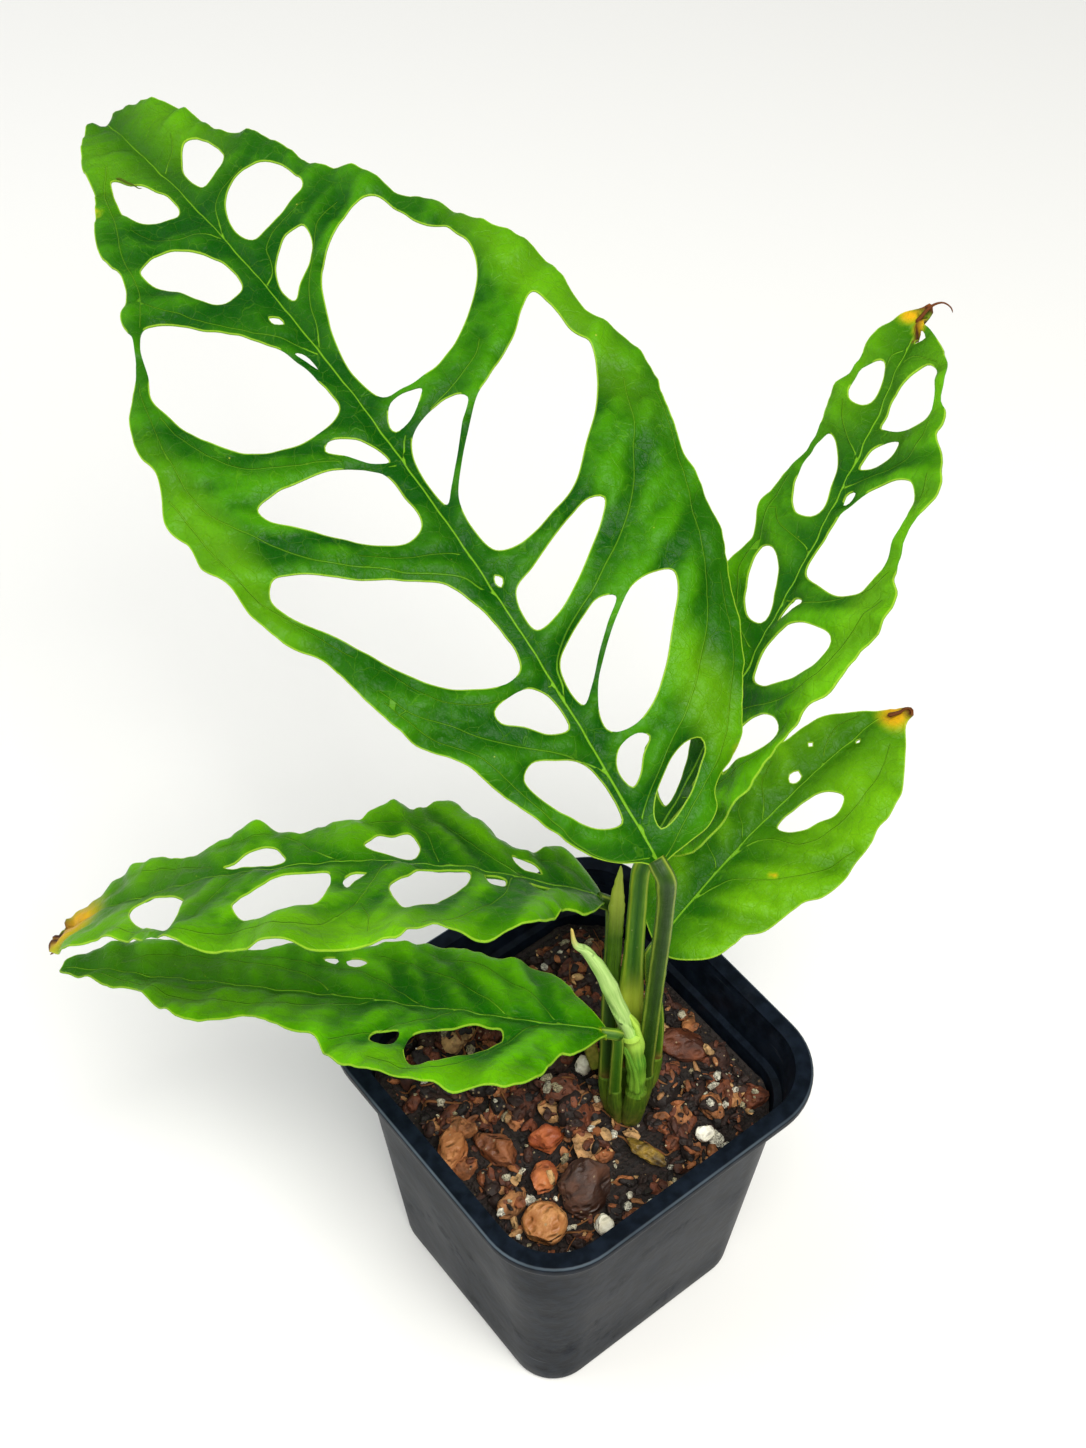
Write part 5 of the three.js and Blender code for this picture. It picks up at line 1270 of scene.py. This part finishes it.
def make_crown():
    """The short stem with the clasping, overlapping sheath feet of the stalks."""
    material = stem_material("crown of sheath feet", "#2a4a08", "#67851c", scar="#3d2a12",
                             rough=0.5)
    parts = []
    feet = [(points[0], radii[0]) for points, radii in STALKS.values()] + [(BUD[0], BUD_FOOT)]
    root = np.array(CROWN_ROOT, float)
    for (x, y, _), radius in feet:
        middle = root + 0.75 * (np.array([x, y, 0]) - root)
        middle[2] = CROWN_TOP - 12

        def foot(angles, share, radius=radius):
            girth = 1 + (radius * 1.1 - 1) * min(1, share * 2) \
                + 0.25 * math.exp(-((share - 0.7) / 0.12) ** 2)
            return girth * (1 - 0.22 * np.exp(-(around_front(angles) / 0.4) ** 2))

        # A slight painted shade over all of each foot.
        parts.append(stem_part(
            [tuple(root), tuple(middle), (x, y, CROWN_TOP - 2.5), (x, y, CROWN_TOP + 0.4)], foot,
            painted_groove_shade=0.1, scar=lambda s: 0.75 * np.clip(1.25 - 1.5 * s, 0, 1), sides=22, rounded=0.3,
            face=(x - CROWN_MIDDLE[0], y - CROWN_MIDDLE[1], 0.01)))
    knob, knob_faces = lump_points((5, 5, 5), 3, 4)
    full = np.ones(len(knob))
    parts.append((knob + root, knob_faces, {key: full * (key == "scar") for key in parts[0][2]}))
    add_grown("fine_crown", parts, material, ["crown"])


def make_new_leaf():
    """The rolled leaf, one turn of blade wrapped over itself, and the sheath around its foot."""
    radii = np.array(NEW_LEAF_RADII)

    def wrap(angles, share):
        return (angles / (2 * np.pi) + 1.7 * share + 0.55) % 1

    def rolled(angles, share):
        turns = wrap(angles, share)
        ends = np.interp(share, np.linspace(0, 1, len(radii)), radii)
        return ends * (0.84 + 0.26 * turns) * (1 + 0.05 * np.sin(3 * angles + 9 * share))

    points, faces, uv, shares, angles = tube(
        smooth_line(NEW_LEAF, 0.7), rolled, sides=72, rounded=0.3)
    # Painted shade along the seam of the rolled blade.
    seam_shade = 0.7 * np.exp(-wrap(angles, shares) / 0.035)
    tip = np.clip((shares - 0.86) / 0.1, 0, 1)
    add_piece("fine_new_leaf", points, faces, new_leaf_material(), ["new_leaf"],
              uv=uv, values={"scar": tip, "painted_groove_shade": seam_shade})

    def sheath(angles, share):
        collar = 0.78 + 0.2 * share + 0.3 * max(share - 0.5, 0) * np.sin(2 * angles + 1) \
            + 0.3 * share**5
        turns = (angles / (2 * np.pi) + 0.35 * share + 0.9) % 1
        return 2.55 * collar * (0.84 + 0.26 * turns) * (1 + 0.06 * math.sin(26 * share))

    material = stem_material("young sheath", "#2f6a0c", "#86b434", rough=0.45, pale="#b2d650")
    body = stem_part(BUD, sheath, lip=lambda s: 0.7 * np.clip(4 * s - 2.6, 0, 1), sides=64,
                     spacing=0.5, rounded=0.2)
    hood = stem_part(BUD_HOOD, lambda a, s: (1.9 - 1.5 * s * s) * flattened(a, 0.25),
                     lip=lambda s: 0.35 + 0.6 * s, spacing=0.5, face=(0.63, 0.78, 0.1))
    flap = stem_part(BUD_FLAP, lambda a, s: (1.5 - 1.1 * s) * flattened(a, 0.4, 1.1),
                     face=(0.3, -0.9, 0.2))
    add_grown("fine_bud_sheath", [body, flap, hood], material, ["bud_sheath"])


# Pot

def square_ring(size, corner, height, steps=14):
    """A ring of points on a square with rounded corners."""
    points = []
    for quarter in range(4):
        middle = math.pi / 4 + quarter * math.pi / 2
        x = math.copysign(size / 2 - corner, math.cos(middle))
        y = math.copysign(size / 2 - corner, math.sin(middle))
        for i in range(steps + 1):
            angle = (quarter + i / steps) * math.pi / 2
            points.append((x + corner * math.cos(angle), y + corner * math.sin(angle), height))
    return np.array(points)


def wall_size(height):
    """The pot's outer width at a height below its lip."""
    slope = (BAND_SIZE - 2 * STEP - BASE_SIZE) / (POT_HEIGHT - LIP_DEPTH)
    return BASE_SIZE + slope * height + (2 * STEP if height >= STEP_HEIGHT else 0)


def wall_ring(height, inset, steps=14):
    """A ring on the pot's wall at a height, inset from its outside."""
    corner = BASE_CORNER + (RIM_CORNER - 2 - BASE_CORNER) * height / POT_HEIGHT
    return square_ring(wall_size(height) - 2 * inset, corner - inset, height, steps)


def pot_rings():
    """The pot's rings of points, from its foot over the lip and down to its floor."""
    under = POT_HEIGHT - LIP_DEPTH
    rings = [square_ring(BASE_SIZE - size, BASE_CORNER - size / 2, height)
             for size, height in ((3.2, 0), (1.2, 0.15), (0.3, 0.6))]
    rings += [wall_ring(height, 0) for height in (1.4, *np.linspace(6, STEP_HEIGHT - 1.6, 14))]
    rings += [wall_ring(height, inset) for height, inset in (
        (STEP_HEIGHT - 1.2, -0.1), (STEP_HEIGHT - 0.5, -0.75), (STEP_HEIGHT, 0.25),
        (STEP_HEIGHT + 0.6, 0), (under - 1.2, 0), (under - 0.6, -0.15))]
    for turn in np.radians([-80, -55, -30, 0]):
        rings.append(square_ring(RIM_SIZE - 1.2 * (1 - math.cos(turn)) * 0.8, RIM_CORNER,
                                 under + 0.7 + 0.7 * math.sin(turn)))
    for turn in np.radians([0, 20, 40, 60, 80, 90]):
        rings.append(square_ring(RIM_SIZE - 1.6 * (1 - math.cos(turn)),
                                 RIM_CORNER - 0.8 * (1 - math.cos(turn)),
                                 POT_HEIGHT - 0.8 + 0.8 * math.sin(turn)))
    inner = RIM_SIZE - 2 * RIM_BAND
    for turn in np.radians([90, 65, 40, 15]):
        rings.append(square_ring(inner + 1.2 * (1 - math.cos(turn - math.pi)) - 1.2,
                                 RIM_CORNER - RIM_BAND, POT_HEIGHT - 0.6 + 0.6 * math.sin(turn)))
    rings += [wall_ring(height, POT_WALL) for height in (
        under - 0.2, STEP_HEIGHT, STEP_HEIGHT - 1, 60, 40, 20, FLOOR + 1)]
    return [*rings, wall_ring(FLOOR, POT_WALL + 1)]


def make_pot():
    """One moulded shell with a rounded lip, a step in its wall and drain holes."""
    rings = pot_rings()
    count = len(rings[0])
    # Painted highlight on the rings at the rim's edges and the step.
    painted_highlight = np.zeros(len(rings))
    painted_highlight[PAINTED_HIGHLIGHT_RINGS] = 1
    parts = [(np.vstack(rings), ring_faces(len(rings), count), {"painted_highlight": np.repeat(painted_highlight, count)})]
    circle = np.arange(DRAIN_SIDES) * 2 * np.pi / DRAIN_SIDES
    spots = (-DRAIN_OFFSET, 0, DRAIN_OFFSET)
    drains = [np.column_stack([x + DRAIN_RADIUS * np.cos(circle),
                               y + DRAIN_RADIUS * np.sin(circle)])
              for x in spots for y in spots if x or y]
    for ring, height, downwards in ((rings[0], 0, True), (rings[-1], FLOOR, False)):
        flat, triangles = flat_triangles(ring[:, :2], drains, np.zeros((0, 2)), [])
        faces = [tuple(t[::-1]) if downwards else tuple(t) for t in triangles.tolist()]
        points = np.column_stack([flat, np.full(len(flat), float(height))])
        parts.append((points, faces, {"painted_highlight": np.zeros(len(points))}))
    sides = np.arange(DRAIN_SIDES)
    after = (sides + 1) % DRAIN_SIDES
    faces = np.column_stack([after, sides, sides + DRAIN_SIDES, after + DRAIN_SIDES]).tolist()
    for drain in drains:
        points = np.vstack([np.column_stack([drain, np.full(DRAIN_SIDES, height)])
                            for height in (0.0, FLOOR)])
        parts.append((points, faces, {"painted_highlight": np.zeros(len(points))}))
    points, faces, values = merge_parts(parts)
    pot = add_piece("fine_pot", points, faces, pot_material(), ["pot"],
                    values=values)
    shape = bmesh.new()
    shape.from_mesh(pot.data)
    bmesh.ops.remove_doubles(shape, verts=shape.verts, dist=2e-5)
    bmesh.ops.recalc_face_normals(shape, faces=shape.faces)
    shape.to_mesh(pot.data)
    shape.free()
    pot.data.set_sharp_from_angle(angle=math.radians(40))


# Potting mix

BALLS = {}


def ball(detail):
    """Points and triangles of a unit ball, made once for each detail."""
    if detail not in BALLS:
        shape = bmesh.new()
        bmesh.ops.create_icosphere(shape, subdivisions=detail, radius=1)
        BALLS[detail] = (np.array([v.co for v in shape.verts]),
                         [tuple(v.index for v in f.verts) for f in shape.faces])
        shape.free()
    return BALLS[detail]


def lump_points(radii, facets, detail, stream=None, rough=0.05):
    """A broken lump: a ball cut by random planes, roughened, and stretched to three radii."""
    stream = stream or np.random.default_rng(SEED)
    points, faces = ball(detail)
    points = points.copy()
    for _ in range(facets):
        way = stream.normal(size=3)
        way /= np.linalg.norm(way)
        over = points @ way - stream.uniform(0.62, 0.88)
        points -= np.outer(np.clip(over, 0, None), way)
    shift = stream.uniform(0, 50, 3)
    bumps = noise_at(*(points * 2.2 + shift).T) + 0.5 * noise_at(*(points * 6 + shift).T)
    points *= (1 + rough * 2 * bumps)[:, None]
    return points / np.abs(points).max(axis=0) * np.array(radii), faces


def turned(points, angles):
    """Points turned about x, then y, then z."""
    x, y, z = angles
    matrix = Matrix.Rotation(z, 3, "Z") @ Matrix.Rotation(y, 3, "Y") @ Matrix.Rotation(x, 3, "X")
    return points @ np.array(matrix).T


def make_chips():
    """The chips and perlite grains that are nodes of their own."""
    for index, (name, chip) in enumerate(CHIPS.items()):
        place, radii, (tilt, spin), dark, light, facets = chip
        slot = "perlite" if name.startswith("perlite") else "bark"
        stream = np.random.default_rng(SEED + 100 + index)
        rough = 0.035 if slot == "perlite" or name == "bark_ball" else 0.07
        points, faces = lump_points(radii, facets, 4, stream, rough)
        points = turned(points, (tilt, 0.1, spin)) + np.array(place)
        if slot == "perlite":
            material = bark_material("perlite grain " + name[-1], dark, light, 0.9)
        else:
            material = bark_material(name.replace("_", " "), dark, light)
        add_piece("fine_" + name, points, faces, material, [name], crease=38)


def bed_heights(x, y, stream):
    """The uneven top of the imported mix."""
    height = np.full(x.shape, SOIL_TOP - 1.2)
    for _ in range(BED_LUMPS):
        cx, cy = stream.uniform(-39, 39, 2)
        size = stream.uniform(1.6, 5)
        gap = (x - cx) ** 2 + (y - cy) ** 2
        top = SOIL_TOP - 1.8 + stream.uniform(-0.6, 1.6)
        height = np.maximum(height, top + np.sqrt(np.clip(size**2 - gap, 0, None)) * 0.45)
    return height


def make_bed(stream):
    """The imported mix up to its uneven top. Gives its points and faces."""
    shares = np.sqrt(np.linspace(0, 1, BED_RINGS + 1))
    outer = wall_ring(SOIL_TOP, POT_WALL + 0.35, BED_STEPS)
    foot = wall_ring(FLOOR + 0.4, POT_WALL + 0.4, BED_STEPS)
    count = len(outer)
    x = np.outer(shares, outer[:, 0])
    y = np.outer(shares, outer[:, 1])
    z = bed_heights(x, y, stream)
    z += 0.45 * noise_at(x * 0.9, y * 0.9, 0).reshape(z.shape)
    top = np.stack([x, y, z], -1)[1:].reshape(-1, 3)
    points = np.vstack([top, foot, [[0, 0, z[0, 0]], [0, 0, FLOOR + 0.4]]])
    after = [(i + 1) % count for i in range(count)]
    faces = [(r * count + i, (r + 1) * count + i, (r + 1) * count + after[i], r * count + after[i])
             for r in range(BED_RINGS) for i in range(count)]
    last = BED_RINGS * count
    faces += [(last + count, i, after[i]) for i in range(count)]
    faces += [(last + count + 1, last + after[i], last + i) for i in range(count)]
    # Near black: the dark mix, and painted shade for the gaps between the loose pieces on it.
    dark = crumb_material("dark bark bed with painted gap shade", ["#0b0503", "#1c0e07", "#2c170b"], "#6d5536", 420,
                          0.7, 0.8)
    tone = np.random.default_rng(SEED + 1).uniform(0, 1, len(points))
    add_piece("mix_bed", points, faces, dark, ["soil"], values={"tone": tone},
              crease=50)
    return points, faces


def keep_clear(x, y, size):
    """Whether a loose piece of this size stays off the chips and the crown."""
    for place, radii, *_ in CHIPS.values():
        if math.hypot(x - place[0], y - place[1]) < size + max(radii[0], radii[1]) * 0.6:
            return False
    return math.hypot(x - CROWN_MIDDLE[0], y - CROWN_MIDDLE[1]) > size * 0.6 + CROWN_ROOM


def surface_tree(surface):
    """A search tree over the meshes that loose pieces can land on."""
    points, faces, _ = merge_parts([(points, faces, {}) for points, faces in surface])
    return BVHTree.FromPolygons(points.tolist(), faces)


def drop(tree, x, y):
    """Where a fall from above lands at (x, y), or None."""
    return tree.ray_cast(Vector((x, y, ABOVE_ALL)), Vector((0, 0, -1)))[0]


def placed(spots, stream, tree, detail, rough, facets):
    """Lumps at given places, kept inside the pot."""
    parts = []
    for x, y, long, wide, thick, tone, turn in spots:
        lump, faces = lump_points((long, wide, thick), facets, detail, stream, rough)
        lump = turned(lump, (0.2 * stream.normal(), 0.2 * stream.normal(), math.radians(turn)))
        hit = drop(tree, x, y)
        if hit is not None:
            lump = lump + np.array([x, y, hit.z + 0.35 * thick])
            beyond = np.clip(np.abs(lump[:, :2]).max(axis=0) - INSIDE, 0, None)
            lump[:, :2] -= beyond * np.sign([x, y])
            parts.append((lump, faces, {"tone": np.full(len(lump), tone)}))
    return parts


def scattered(stream, tree, number, sizes, shape, detail, sink, tones, rough, facets):
    """Lumps at random places inside the pot, clear of the chips and the crown."""
    parts = []
    half = wall_size(SOIL_TOP) / 2 - POT_WALL - EDGE_ROOM
    corner = RIM_CORNER - 4
    while len(parts) < number:
        x, y = stream.uniform(-half, half, 2)
        size = sizes[0] + (sizes[1] - sizes[0]) * stream.uniform() ** 1.8
        reach = half - size
        beyond = np.clip(np.abs([x, y]) - (reach - corner), 0, None)
        outside = max(abs(x), abs(y)) > reach or math.hypot(*beyond) > corner
        if outside or not keep_clear(x, y, size):
            continue
        radii = size * np.array([1, stream.uniform(*shape[0]), stream.uniform(*shape[1])])
        lump, faces = lump_points(radii, facets, detail, stream, rough)
        lump = turned(lump, (*stream.uniform(-0.5, 0.5, 2), stream.uniform(0, 2 * np.pi)))
        lump = lump + np.array([x, y, drop(tree, x, y).z + radii[2] * (1 - 2 * sink)])
        shade = tones[0] + (tones[1] - tones[0]) * stream.uniform() ** 1.9
        parts.append((lump, faces, {"tone": np.full(len(lump), shade)}))
    return parts


def make_fibres(stream, tree):
    """Thin bent fibres that lie on the loose mix."""
    material = stem_material("dry bark fibre", "#4a2413", "#8c5a33", scar="#6b3d22", rough=0.7)
    parts = []
    while len(parts) < FIBRES:
        x, y = stream.uniform(-FIBRE_SPREAD, FIBRE_SPREAD, 2)
        angle = stream.uniform(0, 2 * np.pi)
        length = stream.uniform(5, 15)
        line = []
        for share in np.linspace(-0.5, 0.5, FIBRE_POINTS):
            angle += stream.normal() * 0.16
            px = x + share * length * math.cos(angle)
            py = y + share * length * math.sin(angle)
            hit = drop(tree, px, py)
            if hit is None or max(abs(px), abs(py)) > FIBRE_REACH:
                break
            line.append((px, py, hit.z + 0.25))
        if len(line) == FIBRE_POINTS:
            thin = stream.uniform(0.2, 0.42)
            parts.append(stem_part(
                line, lambda a, s: thin * (1 - 0.5 * abs(2 * s - 1)) * (1 + 0.3 * np.cos(2 * a)),
                scar=0.2, sides=7, spacing=0.9, rounded=0.3))
    add_grown("bark_fibres", parts, material)


def make_mix():
    """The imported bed, then loose bark, crumbs, perlite and fibres that lie on it."""
    stream = np.random.default_rng(SEED)
    surface = [make_bed(stream)]
    bark = crumb_material("loose bark", ["#140904", "#361a0d", "#74391c", "#a96535", "#d8ab70"],
                          "#b49c74", 300, 0.6, 0.72)
    white = crumb_material("perlite grains", ["#b9ab84", "#e2d8b8", "#f6f0da"], "#8f866f", 900, 0.9,
                           0.92)
    grains = [(x, y, size, size * 0.9, size * 0.85, 0.9, 40 * index)
              for index, (x, y, size) in enumerate(SEEN_PERLITE)]
    for name, slot, material, crease, seen in (
            ("loose_bark", "bark", bark, 36, (SEEN_BARK, 3, 0.07, 8)),
            ("bark_crumbs", "bark", bark, 36, ((), 0, 0, 0)),
            ("perlite_grains", "perlite", white, 40, (grains, 3, 0.16, 6))):
        tree = surface_tree(surface)
        parts = scattered(stream, tree, *SCATTERED[name])
        spots, *kind = seen
        points, faces, values = merge_parts([*parts, *placed(spots, stream, tree, *kind)])
        add_piece(name, points, faces, material, values=values, crease=crease)
        surface.append((points, faces))
    make_fibres(stream, tree)


# Camera, light and floor

def make_camera():
    """The photograph's camera, turned and shifted as it was solved."""
    azimuth, elevation, tilt = np.radians([AZIMUTH, ELEVATION, TILT])
    level_part = math.cos(elevation)
    back = np.array([math.sin(azimuth) * level_part, -math.cos(azimuth) * level_part,
                     math.sin(elevation)])
    level = np.array([math.cos(azimuth), math.sin(azimuth), 0])
    upright = np.cross(back, level)
    right = math.cos(tilt) * level + math.sin(tilt) * upright
    up = math.cos(tilt) * upright - math.sin(tilt) * level
    place = (TARGET + back * DISTANCE + SIDEWAYS * right + UPWARDS * up) * MM
    data = bpy.data.cameras.new("camera")
    data.sensor_width = SENSOR
    data.lens = FOCAL_PIXELS * SENSOR / IMAGE_HEIGHT
    camera = bpy.data.objects.new("camera", data)
    turn = Matrix([[*row] for row in np.column_stack([right, up, back])]).to_4x4()
    camera.matrix_world = Matrix.Translation(Vector(place)) @ turn
    bpy.context.scene.collection.objects.link(camera)
    bpy.context.scene.camera = camera


def add_light(name, place, size, power, colour):
    """A square area light that looks at the plant."""
    data = bpy.data.lights.new(name, "AREA")
    data.size = size
    data.energy = power
    data.color = colour
    light = bpy.data.objects.new(name, data)
    light.location = place
    light.rotation_euler = (Vector(LIGHT_AIM) - Vector(place)).to_track_quat("-Z", "Y").to_euler()
    bpy.context.scene.collection.objects.link(light)


def make_studio():
    """A pale floor that is only part of the stage, a pale world and two soft lights."""
    floor_mesh = bpy.data.meshes.new("floor")
    ends = [(x * FLOOR_REACH, y * FLOOR_REACH, -0.0002)
            for x, y in ((-1, -1), (1, -1), (1, 1), (-1, 1))]
    floor_mesh.from_pydata(ends, [], [(0, 1, 2, 3)])
    floor = bpy.data.objects.new("floor", floor_mesh)
    bpy.context.scene.collection.objects.link(floor)
    material, _, shader = start_material("pale floor")
    shader.inputs["Base Color"].default_value = paint("#e6e5e2")
    shader.inputs["Roughness"].default_value = 0.9
    floor_mesh.materials.append(material)
    world = bpy.data.worlds.new("pale studio")
    world.use_nodes = True
    background = world.node_tree.nodes["Background"]
    background.inputs["Color"].default_value = paint("#f4f6f8")
    background.inputs["Strength"].default_value = WORLD_STRENGTH
    bpy.context.scene.world = world
    for light in LIGHTS:
        add_light(*light)


bpy.context.scene.view_settings.view_transform = "Standard"
make_camera()
make_studio()
for blade, looks in LEAF_LOOKS.items():
    make_blade(blade, leaf_material(*looks))
make_stalks()
make_crown()
make_new_leaf()
make_pot()
make_chips()
make_mix()
